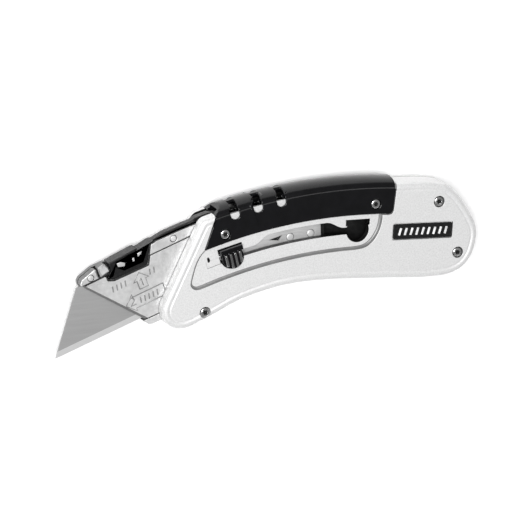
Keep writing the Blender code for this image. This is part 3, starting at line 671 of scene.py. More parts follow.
def moulded_nylon(name, colour):
    """Glass-filled nylon from a spark-eroded mould: matt, with a fine grain and uneven tone.

    The real grain of 0.05 mm is drawn at 0.4 mm so that it shows.
    """
    roughness = 0.38
    made, tree, shader, place = start_material(name, colour, Roughness=roughness)
    bumped(tree, shader, speckle(tree, place, 0.4, 0.0, 1.0, 3.0), 0.02)
    shaded(tree, shader, colour, speckle(tree, place, 1.6, 0.75, 1.35))
    uneven(tree, shader, speckle(tree, place, 1.0, roughness - 0.06, roughness + 0.1))
    return made


def matt_floor(name, colour):
    """Matt white paper with the faintest tooth; a slight glow keeps the shadow soft."""
    made, tree, shader, place = start_material(name, colour, Roughness=0.9)
    shader.inputs["Specular IOR Level"].default_value = 0.1
    shader.inputs["Emission Color"].default_value = (1, 1, 1, 1)
    shader.inputs["Emission Strength"].default_value = 0.14
    bumped(tree, shader, speckle(tree, place, 1.0, 0.0, 1.0), 0.01)
    return made


# ---------------------------------------------------------------- sizes and colours

def length(title, text, default):
    return FloatProperty(name=title, description=text, default=default, min=0.0, max=10.0,
                         unit="NONE")


def colour(title, text, code):
    return FloatVectorProperty(name=title, description=text, subtype="COLOR", size=3, min=0,
                               max=1, default=linear(code))


class KnifeSizes(PropertyGroup):
    """Sizes of the details, in millimetres."""
    roll_width: length("Roll width", "How far the shells' rounded rim reaches in, mm", 1.5)
    valley_depth: length("Valley depth", "Depth of the valley inside the rounded rim, mm", 0.22)
    roll_rise: length("Roll rise", "Height of the shells' rounded rim, mm", 1.5)
    recess_depth: length("Recess depth", "Depth of the dish round the slot, mm", 1.2)
    saddle_sheet: length("Saddle sheet", "Thickness of the saddle's sides, mm", 0.8)
    crown_half: length("Crown half width", "Half the width of the saddle's crown, mm", 5.7)
    vent_width: length("Vent width", "Width of each vent in the saddle, mm", 2.9)
    vent_pitch: length("Vent pitch", "Distance between vents along the arc, mm", 7.5)
    head_radius: length("Screw head radius", "Radius of the screw heads, mm", 1.6)
    ridge_pitch: length("Ridge pitch", "Distance between the button's ridges, mm", 1.6)
    grind_width: length("Grind width", "Width of the blade's ground edge, mm", 2.0)
    spring_thickness: length("Spring thickness", "Thickness of the lock spring, mm", 0.6)
    mark_radius: length("Mark radius", "Half the width of the raised marks, mm", 0.21)
    vents: IntProperty(name="Vents", description="Number of vents in the saddle", default=3,
                       min=0, max=6)


class KnifeColours(PropertyGroup):
    """Colours of the finishes."""
    lacquer: colour("Silver lacquer", "Paint on the two shells", "EDEDED")
    enamel: colour("Black enamel", "Finish of the spine saddle", "0E0E10")
    # Painted shade: the inside colour is near-black, put on the castings' insides, the screw
    # sockets and the carrier's floors, where the light does not reach.
    inside: colour("Inside", "Greased, unlit insides of the castings", "0C0C0C")
    # Painted shade: a darker grey on the sloped and upright walls of the dish and of the pockets
    # in it.
    thin_paint: colour("Thin paint", "Walls of the dish, where the paint is thin", "8E8E8E")
    # Painted shade: the raised marks are a darker grey than the cover's zinc, standing in for the
    # shade along their sides.
    mark: colour("Raised marks", "Marks cast on the carrier's cover", "9A9A9A")
    zinc: colour("Cast zinc", "Bare metal of the blade carrier", "DCDCDC")
    # Painted shade: a darker grey on the carrier's upright walls and on the floor of the cover's
    # front step.
    zinc_side: colour("Cast walls", "As-cast side walls of the carrier", "7C7C7C")
    rivet: colour("Rivet heads", "Satin heads of the rivets", "E6E6E6")
    blade: colour("Blade steel", "Face of the blade", "BCBCBC")
    grind: colour("Ground edge", "Ground strip along the cutting edge", "EAEAEA")
    plating: colour("Plated steel", "Screws", "F2F2F2")
    # Painted reflection: the button's body is dark plating standing in for the dark surroundings
    # its chrome mirrors, and the ridges are lighter plating standing in for their bright glints.
    chrome: colour("Dark chrome", "Body of the thumb button", "3A3A3C")
    polish: colour("Polished ridges", "Worn tops of the button's ridges", "CFCFCF")
    spring: colour("Spring steel", "Lock spring, lever spring and prongs", "DEDEDE")
    nylon: colour("Black nylon", "Release lever", "080809")
    badge: colour("Badge plastic", "Field of the badge", "0A0A0B")
    badge_mark: colour("Badge ribs", "Raised ribs on the badge", "E8E8E8")
    floor: colour("Floor", "Paper under the knife", "FBFBFB")


def sizes():
    return bpy.context.scene.knife_sizes


def colours():
    return bpy.context.scene.knife_colours


def look(maker, key, *more):
    """A finish in one of the stored colours, made once and shared.

    Its name holds the maker and the colour, so one pair always has the same further values.
    """
    name = f"{maker.__name__}_{key}"
    return bpy.data.materials.get(name) or maker(name, tuple(getattr(colours(), key)), *more)


def zinc_looks():
    """Tumbled faces, a darker grey of painted shade on the upright walls, and near-black painted
    shade on the floors inside.
    """
    return [look(cast_zinc, "zinc"), look(cast_zinc, "zinc_side"), look(moulded_nylon, "inside")]


def paint_walls(bm):
    """The second look, a darker grey of painted shade, for every face that stands more upright
    than it lies.
    """
    return paint(bm, 1, lambda at, way: abs(way.z) < 0.5)


# ---------------------------------------------------------------- handle

def grip_notches():
    points = (track(56.0, -18.9), track(47.6, -18.9), track(38.4, -17.3))
    return bores(points, 1.5, -THICKNESS - 1, 1)


def saddle_cups(depth_from, depth_to):
    radius = sizes().head_radius + WELL_PLAY + sizes().saddle_sheet + GAP
    return bores(SADDLE_SCREWS.values(), radius, depth_from, depth_to)


def shell_looks():
    """Lacquered faces, near-black painted shade on the inside, and a grey painted shade on the
    walls of the dish.

    The painted shade on the inside uses the nylon's matt, grainy finish, and the shade on the dish
    walls uses the cast zinc's, with its metal held lower.
    """
    return [look(silver_lacquer, "lacquer"), look(moulded_nylon, "inside"),
            look(cast_zinc, "thin_paint", 0.35)]


def make_near_shell():
    seat = sizes().saddle_sheet + GAP
    outline = handle_outline()
    body = beaded_edge(plate(outline, SHELL_LOW_Z, -sizes().roll_rise), -sizes().roll_rise,
                       sizes().roll_width, sizes().roll_rise, sizes().valley_depth)
    dish_wall = -sizes().recess_depth + DISH_WALL_RISE
    dish = rolled_edge(plate(recess_outline(), dish_wall, 2.0), dish_wall, DISH_DRAFT,
                       DISH_WALL_RISE, 2)
    track_floor = plate(run(47.0, 41.0, SLOT_TOP_H) + run(41.0, 47.0, SLOT_LOW_H),
                        -sizes().recess_depth - 0.35, 1)
    pockets = cutters([keyhole(a, GAP) for a in (BUTTON_A, BUTTON_REAR_A)],
                      CARRIER_TOP_Z - 0.5, 1.4)
    badge = plate(rectangle(BADGE_MIDDLE, 21.6, 5.6, BADGE_TURN), -0.7, 1.3)
    heads = bores(HANDLE_SCREWS.values(), sizes().head_radius + GAP, -1.7, 1.1)
    shanks = bores(HANDLE_SCREWS.values(), HOLE_RADIUS, SHELL_LOW_Z - 1, 0.9)
    threads = bores(SADDLE_SCREWS.values(), HOLE_RADIUS, CARRIER_TOP_Z - 0.2, 1)
    shell = combine(body,
                    ("DIFFERENCE", plate(cavity_outline(), SHELL_LOW_Z - 1, CARRIER_TOP_Z + GAP)),
                    ("DIFFERENCE", grip_notches()),
                    ("DIFFERENCE", dish),
                    ("DIFFERENCE", plate(shell_top_cut(), -THICKNESS - 1, 1)),
                    ("DIFFERENCE", plate(saddle_side(GAP), -seat, 1.5)),
                    ("DIFFERENCE", saddle_cups(-WELL_DEPTH - seat, 1.7)),
                    ("DIFFERENCE", plate(slot_outline(), CARRIER_TOP_Z - 0.7, 1)),
                    ("DIFFERENCE", track_floor),
                    ("DIFFERENCE", plate(slot_end_mark(), -2.6, 1)),
                    ("DIFFERENCE", pockets),
                    ("DIFFERENCE", threads),
                    ("DIFFERENCE", shanks),
                    ("DIFFERENCE", heads),
                    ("DIFFERENCE", badge))
    # Painted shade: the sloped and upright walls inside the dish get a darker grey, and every face
    # deeper than the track, away from the rim, gets near-black.
    dish_low, dish_top, rim_width = -1.5, -0.1, 3.2
    below_track, wall_width = -1.7, 1.9
    paint(shell, 2, lambda at, way: dish_low < at.z < dish_top and abs(way.z) < 0.95
          and depth_inside(at, outline) > rim_width)
    paint(shell, 1, lambda at, way: at.z < below_track
          and depth_inside(at, outline) > wall_width)
    finish_piece("silver_near_shell", shell, shell_looks(), "handle", ["near_shell"],
                 soften=0.12)


def make_far_cover():
    far = -THICKNESS
    seat = sizes().saddle_sheet + GAP
    outline = handle_outline()
    body = plate(outline, far + sizes().roll_rise, COVER_TOP_Z)
    body = beaded_edge(body, far + sizes().roll_rise, sizes().roll_width, sizes().roll_rise,
                       sizes().valley_depth)
    cover = combine(body,
                    ("DIFFERENCE", grip_notches()),
                    ("DIFFERENCE", plate(shell_top_cut(), far - 1, 1)),
                    ("DIFFERENCE", plate(saddle_side(GAP), far - 1.5, far + seat)),
                    ("DIFFERENCE", saddle_cups(far - 1.7, far + WELL_DEPTH + seat)),
                    ("DIFFERENCE", bores(SADDLE_SCREWS.values(), HOLE_RADIUS, far - 1,
                                         COVER_TOP_Z + 1)),
                    ("DIFFERENCE", bores(HANDLE_SCREWS.values(), HOLE_RADIUS, far + 0.8,
                                         COVER_TOP_Z + 1)))
    # Painted shade: the cover's inner face and the inside of its rim are near-black.
    above_rim, rim_width = far + 1.35, 0.5
    paint(cover, 1, lambda at, way: at.z > COVER_TOP_Z - 0.01
          or at.z > above_rim and depth_inside(at, outline) > rim_width)
    finish_piece("silver_far_cover", cover, shell_looks(), "handle", ["far_cover"],
                 soften=0.12)


def saddle_section():
    """The saddle's section: two sheet legs, a crease, and a thick crown with a hollow."""
    sheet = sizes().saddle_sheet
    half = sizes().crown_half
    foot = SADDLE_LOW_H - 3
    rise = CROWN_TOP_H - CREASE_H - 0.35
    side = [(0.0, foot), (0.0, CREASE_H - 0.35), (-0.05, CREASE_H - 0.12),
            (-0.2, CREASE_H + 0.05), (-0.45, CREASE_H + 0.1)]
    crown = arc((0, 0), 1, 0, 180, 30)
    crown = [(MID_Z + half * x, CREASE_H + 0.35 + rise * y) for x, y in crown]
    inside = [(-sheet, foot), (-sheet, CREASE_H + 0.15), (-3.6, CREASE_H + 0.15),
              (-3.6, CROWN_TOP_H - 0.9)]
    other = [(-THICKNESS - z, h) for z, h in side[::-1]]
    return side + crown + other + [(-THICKNESS - z, h) for z, h in inside] + inside[::-1]


def vent_outline(a_middle):
    """A vent in the saddle's side, round at its lower end."""
    half = sizes().vent_width / 2
    low = [(a_middle + x, VENT_LOW_H + half + y) for x, y in arc((0, 0), half, 180, 360, 12)]
    top = [(a_middle + half, ABOVE_CROWN_H), (a_middle - half, ABOVE_CROWN_H)]
    return [track(a, h) for a, h in low + top]


def vent_notch(a_middle):
    """The leaning notch that carries a vent on over the crown."""
    half = sizes().vent_width / 2 - VENT_NARROWING
    corners = ((half, VENT_FLOOR_H), (half - VENT_LEAN, ABOVE_CROWN_H),
               (-half - VENT_LEAN, ABOVE_CROWN_H), (-half, VENT_FLOOR_H))
    return [track(a_middle + a, h) for a, h in corners]


def make_saddle():
    sheet = sizes().saddle_sheet
    head = sizes().head_radius + WELL_PLAY
    far = -THICKNESS
    points = list(SADDLE_SCREWS.values())
    bosses = together([bores(points, head + sheet, -WELL_DEPTH - sheet, -0.4),
                       bores(points, head + sheet, far + 0.4, far + WELL_DEPTH + sheet)])
    wells = together([bores(points, head, -WELL_DEPTH, 3),
                      bores(points, head, far - 3, far + WELL_DEPTH)])
    places = [VENT_FRONT_A - i * sizes().vent_pitch for i in range(sizes().vents)]
    vents = [vent_outline(a) for a in places]
    notches = [vent_notch(a) for a in places]
    saddle = combine(swept(saddle_section(), 50.0, SADDLE_REAR_A - 4.0),
                     ("INTERSECT", plate(saddle_side(), far - 2, 2)),
                     ("UNION", bosses),
                     ("DIFFERENCE", wells),
                     ("DIFFERENCE", bores(points, HOLE_RADIUS, far - 4, 4)),
                     ("DIFFERENCE", cutters(vents, -VENT_DEPTH, 3)),
                     ("DIFFERENCE", cutters(vents, far - 3, far + VENT_DEPTH)),
                     ("DIFFERENCE", cutters(notches, MID_Z + VENT_RIB_HALF, 2.5)),
                     ("DIFFERENCE", cutters(notches, far - 2.5, MID_Z - VENT_RIB_HALF)))
    finish_piece("black_spine_saddle", saddle, look(black_enamel, "enamel"), "handle",
                 ["spine_saddle"], soften=0.22, segments=3)


def make_badge():
    """A black plate with a rim and plain slanted ribs."""
    base = plate(rectangle(BADGE_MIDDLE, 21.0, 5.0, BADGE_TURN), -0.4, 0.25, round_top=0.15)
    field = plate(rectangle(BADGE_MIDDLE, 20.0, 4.0, BADGE_TURN, 0.3), 0.1, 1.0)
    finish_piece("badge_plate_rim", combine(base, ("DIFFERENCE", field)),
                 look(moulded_nylon, "badge"), "handle", ["badge_plate"], 0.05)
    spin = Matrix.Rotation(BADGE_TURN, 2)
    pitch, slant = 2.05, math.radians(14)
    ribs = []
    for k in range(-4, 5):
        middle = Vector(BADGE_MIDDLE) + spin @ Vector((k * pitch, 0))
        ribs.append(plate(rectangle(middle, 0.75, 2.5, BADGE_TURN - slant, 0.15),
                          0.1, 0.24, round_top=0.05, segments=2))
    finish_piece("badge_ribs", together(ribs), look(moulded_nylon, "badge_mark"), "handle",
                 [])


def star(centre, radius):
    """The outline of a six-lobed driver socket."""
    sides = 48
    points = []
    for k in range(sides):
        angle = 2 * math.pi * k / sides
        reach = radius * (1 + 0.16 * math.cos(6 * angle))
        points.append((centre[0] + reach * math.cos(angle), centre[1] + reach * math.sin(angle)))
    return points


def make_screw(name, point, top, thickness, tip, down=-1):
    """A pan-head screw with a star socket; down is the way that it points along z."""
    radius = sizes().head_radius
    socket_reach = 1.02
    reach = abs(tip - top)
    section = [(0, 0), (radius * 0.62, 0), (radius * 0.82, 0.05), (radius * 0.95, 0.16),
               (radius, 0.32), (radius, thickness), (1.0, thickness), (1.0, reach - 0.4),
               (0.6, reach), (0, reach)]
    body = turned([(r, top + down * depth) for r, depth in section], point, 48)
    low, high = sorted((top - down * 1.0, top + down * thickness * 0.75))
    head = combine(body, ("DIFFERENCE", plate(star(point, 0.72), low, high)))
    # Painted shade: the socket's walls and floor are near-black.
    paint(head, 1, lambda at, way: (Vector((at.x, at.y)) - Vector(point)).length < socket_reach
          and 0.06 < abs(at.z - top) < thickness)
    looks = [look(plated_steel, "plating"), look(moulded_nylon, "inside")]
    finish_piece(f"{name}_star", head, looks, "handle", [name], 0.05)


def make_screws():
    for place, point in HANDLE_SCREWS.items():
        make_screw(f"screw_{place}", point, -0.15, 1.2, -THICKNESS + 1.3)
    head = 0.6
    top = -WELL_DEPTH + GAP + head
    for place, point in SADDLE_SCREWS.items():
        make_screw(f"saddle_screw_near_{place}", point, top, head, CARRIER_TOP_Z + 0.7)
        make_screw(f"saddle_screw_far_{place}", point, -THICKNESS - top, head,
                   COVER_TOP_Z - 0.3, 1)


# ---------------------------------------------------------------- carrier

def carrier_outline():
    """The carrier's whole side view: nose, bars, lever pocket and sliding tail."""
    corners = [(33.3, -2.5), (32.0, -2.0), (15.6, 19.2), (15.8, 20.5), (16.8, 21.5),
               (21.6, BAR_TOP_P), (44.0, BAR_TOP_P - 0.2)]
    front = [blade(s, p) for s, p in corners]
    front = rounded([blade(40.0, -2.5)] + front, [0, 0.8, 0.6, 0.5, 0.5, 0.5, 0.8, 0])[1:]
    top = run(56.0, BAR_REAR_A, BAR_TOP_H)
    back = [track(BAR_REAR_A, 3.6)] + run(BAR_REAR_A - 1.0, TAIL_END_A + 1.0, 2.6)
    back += [track(TAIL_END_A, 1.6), track(TAIL_END_A, -4.4)]
    back += run(TAIL_END_A + 1.0, BAR_REAR_A + 3.0, -5.4)
    rear = [blade(66.5, 3.0), blade(66.5, -1.5), blade(65.0, -2.5)]
    return front + top + back + rear


def hood_gap():
    """Everything that the hood needs cut away, up past the bars."""
    corners = [(26.5, 16.7), (24.4, 17.5), (24.4, 19.3), (26.4, 19.3), (26.4, 26.0), (43.3, 26.0),
               (43.3, 22.5), (41.9, 22.5), (38.8, 16.5)]
    return [blade(s, p) for s, p in corners]


def make_carrier_frame():
    top = CARRIER_TOP_Z + 1
    ceiling = BLADE_HEIGHT + GAP + 0.1
    bay = [blade(10, -GAP), blade(BLADE_LENGTH + 0.8, -GAP)]
    bay += run(39.7, 24.0, -4.2) + run(24.0, 40.3, 3.4)
    bay += [blade(s, p) for s, p in ((BLADE_LENGTH + 0.8, ceiling), (30.0, ceiling), (30.0, 26.0),
                                     (10, 26.0))]
    tail = run(BAR_REAR_A - 0.6, TAIL_END_A - 3.0, -7.4)
    tail += run(TAIL_END_A - 3.0, BAR_REAR_A - 0.6, 4.6)
    lug = run(PIVOT_A + 2.4, BAR_REAR_A - 1.5, 7.9) + run(BAR_REAR_A - 1.5, PIVOT_A + 2.4, 16.0)
    well = run(BAR_REAR_A + 2.7, BAR_REAR_A + 0.1, 4.6)
    well += run(BAR_REAR_A + 0.1, BAR_REAR_A + 2.7, 9.0)
    body = plate(carrier_outline(), CARRIER_LOW_Z, CARRIER_TOP_Z)
    frame_piece = combine(
        body,
        ("DIFFERENCE", plate(bay, POCKET_LOW_Z, top)),
        ("DIFFERENCE", plate(tail, CARRIER_TOP_Z - sizes().spring_thickness - GAP, top + 0.2)),
        ("DIFFERENCE", plate(hood_gap(), CARRIER_LOW_Z - 1, top + 0.3)),
        ("DIFFERENCE", plate(lug, MID_Z - 1.8, MID_Z + 1.8)),
        ("DIFFERENCE", plate(well, MID_Z - 1.2, MID_Z + 1.2)),
        ("DIFFERENCE", together([rod(PIVOT, PIVOT_HOLE_RADIUS, CARRIER_LOW_Z - 1, top),
                                 rod(NOSE_RIVET, HOLE_RADIUS, CARRIER_LOW_Z - 1, top),
                                 rod(REAR_RIVET, HOLE_RADIUS, CARRIER_LOW_Z - 1, top),
                                 bores(SPRING_RIVETS, SPRING_HOLE_RADIUS, CARRIER_LOW_Z - 1,
                                       top)])))
    # Painted shade: the upright walls get the darker grey, and the floors below the top face get
    # near-black.
    paint_walls(frame_piece)
    paint(frame_piece, 2, lambda at, way: POCKET_LOW_Z - 0.1 < at.z < CARRIER_TOP_Z - 0.2
          and way.z > 0.5)
    finish_piece("cast_carrier_frame", frame_piece, zinc_looks(), "carrier", ["carrier_frame"],
                 soften=0.18, segments=3)


def make_carrier_cover():
    corners = [(33.0, 0.0), (31.4, 0.0), (16.3, 19.1), (24.4, 19.1), (24.4, 17.4), (26.6, 16.4),
               (38.9, 16.2), (40.4, 19.1), (60.8, 19.1), (60.8, 0.0)]
    outline = rounded([blade(s, p) for s, p in corners], 0.4)
    top = CARRIER_TOP_Z - 0.02
    step = [blade(s, p) for s, p in ((32.6, -0.2), (16.2, 20.2), (14.0, 20.0), (30.0, -0.6))]
    cover = combine(plate(outline, POCKET_TOP_Z, top),
                    ("DIFFERENCE", plate(step, top - 0.3, top + 1)))
    # Painted shade: the upright walls and the floor of the front step get the darker grey.
    paint(paint_walls(cover), 1, lambda at, way: way.z > 0.9 and at.z < top - 0.1)
    finish_piece("cast_carrier_cover", cover, zinc_looks(), "carrier", ["carrier_cover"],
                 soften=0.1, segments=2)


def arrow(s, p, turn, reach, head, half, stem):
    """The outline of a plain block arrow; reach is its length and head its point's length."""
    neck = reach - head
    shape = [(0, stem), (neck, stem), (neck, half), (reach, 0), (neck, -half), (neck, -stem),
             (0, -stem), (0, stem)]
    c, d = math.cos(math.radians(turn)), math.sin(math.radians(turn))
    return [(s + x * c - y * d, p + x * d + y * c) for x, y in shape]


def bars(s, p, count):
    """Plain slanted bars in a row."""
    pitch, lean, height = 1.5, 0.35, 1.9
    return [[(s + k * pitch, p), (s + k * pitch + lean, p + height)] for k in range(count)]


def cover_marks():
    """Raised lines on the cover: two arrows, their numerals and plain bars."""
    one = [(34.2, 12.9), (34.9, 13.5), (34.9, 11.0)]
    two = [(29.5 + x, 7.9 + y) for x, y in arc((0, 0), 0.8, 150, -35, 8)]
    two += [(28.7, 6.1), (30.5, 6.1)]
    lines = [arrow(34.8, 10.2, 90, 5.4, 2.6, 2.7, 1.5), one]
    lines += [arrow(41.0, 6.8, 180, 13.9, 3.0, 2.9, 2.0), two]
    return lines + bars(24.9, 13.2, 4) + bars(38.2, 13.3, 2) + bars(32.2, 5.8, 5)


def make_cover_marks():
    level = CARRIER_TOP_Z + 0.04
    lines = [[(*blade(s, p), level) for s, p in points] for points in cover_marks()]
    marks = wire("cover_marks", sizes().mark_radius, lines)
    # Painted shade: the marks are a darker grey than the cover, standing in for the shade along
    # their sides.
    marks.data.materials.append(look(cast_zinc, "mark"))
    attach(marks, "carrier")


def make_nose_blocks():
    low = POCKET_LOW_Z + GAP
    top_p = BLADE_HEIGHT + 0.5
    nose = rounded([blade(s, p) for s, p in ((15.7, top_p), (15.9, 20.5), (16.8, 21.5),
                                             (21.6, BAR_TOP_P), (22.2, 22.6), (22.2, top_p))], 0.3)
    latch = rounded([blade(s, p) for s, p in ((22.8, top_p), (22.8, 22.6), (23.1, 23.0),
                                              (24.8, 23.4), (25.6, 22.8), (26.1, 21.5),
                                              (26.1, 20.2))], 0.25)
    block = combine(plate(nose, low, CARRIER_TOP_Z, round_top=0.35),
                    ("DIFFERENCE", rod(NOSE_RIVET, HOLE_RADIUS, low - 1, CARRIER_TOP_Z + 1)))
    # Painted shade: on both blocks the upright walls get the darker grey.
    finish_piece("nose_block_cast", paint_walls(block), zinc_looks(), "carrier", ["nose_block"],
                 soften=0.08)
    hook = plate(latch, low, CARRIER_TOP_Z, round_top=0.35)
    finish_piece("latch_block_cast", paint_walls(hook), zinc_looks(), "carrier", ["latch_block"],
                 soften=0.08)


def make_rivet(name, point, radius, top):
    """A flat-headed rivet with a softly turned rim."""
    low = CARRIER_LOW_Z + 0.1
    section = [(0, top), (radius * 0.7, top), (radius * 0.9, top - 0.05), (radius, top - 0.18),
               (radius, low + 0.15), (radius - 0.15, low), (0, low)]
    finish_piece(f"{name}_head", turned(section, point, 40), look(cast_zinc, "rivet"),
                 "carrier", [name])


def make_rivets():
    make_rivet("carrier_rivet_nose", NOSE_RIVET, 1.0, CARRIER_TOP_Z)
    make_rivet("carrier_rivet_rear", REAR_RIVET, 1.0, CARRIER_TOP_Z)
    make_rivet("lever_pivot_pin", PIVOT, 0.8, CARRIER_TOP_Z - 0.1)
    for name, point in zip(("spring_rivet_front", "spring_rivet_rear"), SPRING_RIVETS):
        make_rivet(name, point, 1.2, CARRIER_TOP_Z + 0.1)


def make_lock_spring():
    low = run(BUTTON_A + 3.2, TAIL_END_A + 1.5, BUTTON_H - 1.0, -3.8)
    high = run(TAIL_END_A + 1.5, 22.0, 2.3)
    arm = run(22.0, 31.0, 2.3, BUTTON_H + 1.0, 0.8)[1:]
    arm += run(31.0, BUTTON_A + 3.2, BUTTON_H + 1.0)[1:]
    leaf = plate(low + high + arm, CARRIER_TOP_Z - sizes().spring_thickness, CARRIER_TOP_Z,
                 round_top=0.08, segments=2)
    window = [track(a, h) for a, h in ((23.8, -0.75), (19.0, -0.1), (20.4, -1.7))]
    leaf = combine(leaf,
                   ("DIFFERENCE", bores(SPRING_RIVETS, SPRING_HOLE_RADIUS, CARRIER_LOW_Z,
                                        CARRIER_TOP_Z + 1)),
                   ("DIFFERENCE", plate(window, CARRIER_LOW_Z, CARRIER_TOP_Z + 1)))
    to_frame(leaf)
    spring = loose_object("lock_spring_leaf", leaf)
    spring.data.materials.append(look(rolled_spring_steel, "spring"))
    shade(spring)
    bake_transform(spring)
    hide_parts("lock_spring")


def make_thumb_button():
    rise = 0.9
    body = plate(keyhole(BUTTON_A), -rise, 0.15, round_top=0.12)
    bar = run(BUTTON_A + 3.8, BUTTON_A - 3.8, 0.5) + run(BUTTON_A - 3.8, BUTTON_A + 3.8, 2.0)
    neck = run(BUTTON_A + 3.0, BUTTON_A - 3.0, -1.95) + run(BUTTON_A - 3.0, BUTTON_A + 3.0, -0.55)
    base = combine(body,
                   ("UNION", plate(bar, -rise + 0.1, rise - 0.05, round_top=0.4)),
                   ("UNION", plate(neck, CARRIER_TOP_Z + 0.05, -rise + 0.4)))
    # Painted reflection: the body's dark plating stands in for the dark surroundings it mirrors.
    finish_piece("thumb_button_body", base, look(plated_steel, "chrome", 0.16), "thumb_button",
                 ["thumb_button"], soften=0.06)
    ridges = []
    pad_radius, half = 3.6, 0.46
    for k in range(4):
        off = (k - 1.5) * sizes().ridge_pitch
        reach = math.sqrt(pad_radius ** 2 - (abs(off) + 0.35) ** 2)
        low_h = BUTTON_H - reach
        strip = [track(BUTTON_A + off + x, h) for x, h in ((half, low_h), (-half, low_h),
                                                          (-half, 0.35), (half, 0.35))]
        ridges.append(plate(rounded(strip, 0.4), 0.0, rise, round_top=0.38))
    # Painted glint: the ridges' lighter plating stands in for their bright reflections.
    finish_piece("thumb_button_ridges", together(ridges), look(plated_steel, "polish", 0.12),
                 "thumb_button", [])


def make_release_lever():
    corners = ((26.8, 17.0), (24.7, 17.8), (24.9, 18.1), (26.7, 18.3), (26.7, 22.8),
               (30.0, 23.0), (38.0, 23.5))
    hood = rounded([blade(s, p) for s, p in corners], [0.3, 0.2, 0.1, 0.1, 0.5, 0.6, 0.5])
    rail_low = BAR_TOP_H + GAP
    outline = hood + run(56.0, 46.5, LEVER_TOP_H)
    outline += [track(45.5, LEVER_TOP_H + 0.5), track(41.0, LEVER_TOP_H + 0.5)]
    outline += run(40.0, BAR_REAR_A + 0.2, LEVER_TOP_H)
    outline += [track(BAR_REAR_A + 0.2, 10.6), track(PIVOT_A - 1.0, 10.6),
                track(PIVOT_A - 0.9, 8.6), track(PIVOT_A + 1.0, 8.6),
                track(PIVOT_A + 1.9, rail_low)]
    outline += run(PIVOT_A + 2.2, 57.5, rail_low) + [blade(41.5, 22.9), blade(38.5, 16.8)]
    side = [blade(43.0, 10.0), blade(43.0, 30.0), track(20.0, 30.0), track(20.0, 0.0)]
    fork = [blade(s, p) for s, p in ((20, 10), (45, 10), (45, 19.4), (20, 19.4))]
    window = rounded([blade(s, p) for s, p in ((28.9, 20.4), (30.8, 18.5), (37.4, 18.4),
                                               (39.1, 21.2), (38.3, 22.3), (29.3, 22.0))], 0.3)
    lever = combine(plate(outline, CARRIER_LOW_Z, CARRIER_TOP_Z),
                    ("DIFFERENCE", plate(side, MID_Z + 1.5, CARRIER_TOP_Z + 1)),
                    ("DIFFERENCE", plate(side, CARRIER_LOW_Z - 1, MID_Z - 1.5)),
                    ("DIFFERENCE", plate(fork, POCKET_LOW_Z, POCKET_TOP_Z)),
                    ("DIFFERENCE", plate(window, CARRIER_LOW_Z + 0.7, CARRIER_TOP_Z + 1.2)),
                    ("DIFFERENCE", rod(PIVOT, PIVOT_HOLE_RADIUS, CARRIER_LOW_Z - 1,
                                       CARRIER_TOP_Z + 1)))
    finish_piece("release_lever_hood", lever, look(moulded_nylon, "nylon"), "release_lever",
                 ["release_lever"], soften=0.25, segments=3)
    make_blade_clip()


def make_blade_clip():
    """Bright steel prongs in the hood's window, which sit in the blade's notches."""
    shapes = [((29.2, 20.3), (31.3, 19.6), (31.9, 20.6), (30.4, 21.6), (29.2, 21.6)),
              ((34.3, 19.8), (35.0, 19.8), (35.2, 21.0), (34.5, 21.0)),
              ((36.4, 20.6), (37.6, 21.0), (38.3, 21.8), (36.6, 21.8))]
    prongs = [plate([blade(s, p) for s, p in shape], MID_Z + 0.4, MID_Z + 2.6, round_top=0.15)
              for shape in shapes]
    finish_piece("blade_clip_prongs", together(prongs), look(rolled_spring_steel, "spring"),
                 "release_lever", [])


def make_lever_spring():
    """A small coil under the lever's rear end, wound about a line square to the track."""
    thick = 0.18
    radius = 0.85
    turns = 4
    steps = turns * 20
    low_h = 4.6 + GAP + thick
    high_h = 10.3 - thick
    middle = BAR_REAR_A + 1.4
    points = []
    for i in range(steps + 1):
        angle = 2 * math.pi * turns * i / steps
        x, y = track(middle + radius * math.cos(angle), low_h + (high_h - low_h) * i / steps)
        points.append((x, y, MID_Z + radius * math.sin(angle)))
    guide = wire("lever_coil", thick, [points])
    graph = bpy.context.evaluated_depsgraph_get()
    mesh = bpy.data.meshes.new_from_object(guide.evaluated_get(graph))
    bpy.data.objects.remove(guide)
    coil = bpy.data.objects.new("lever_coil", mesh)
    bpy.context.scene.collection.objects.link(coil)
    mesh.materials.clear()
    mesh.materials.append(look(rolled_spring_steel, "spring"))
    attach(coil, "carrier")
    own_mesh(coil)
    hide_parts("lever_spring")


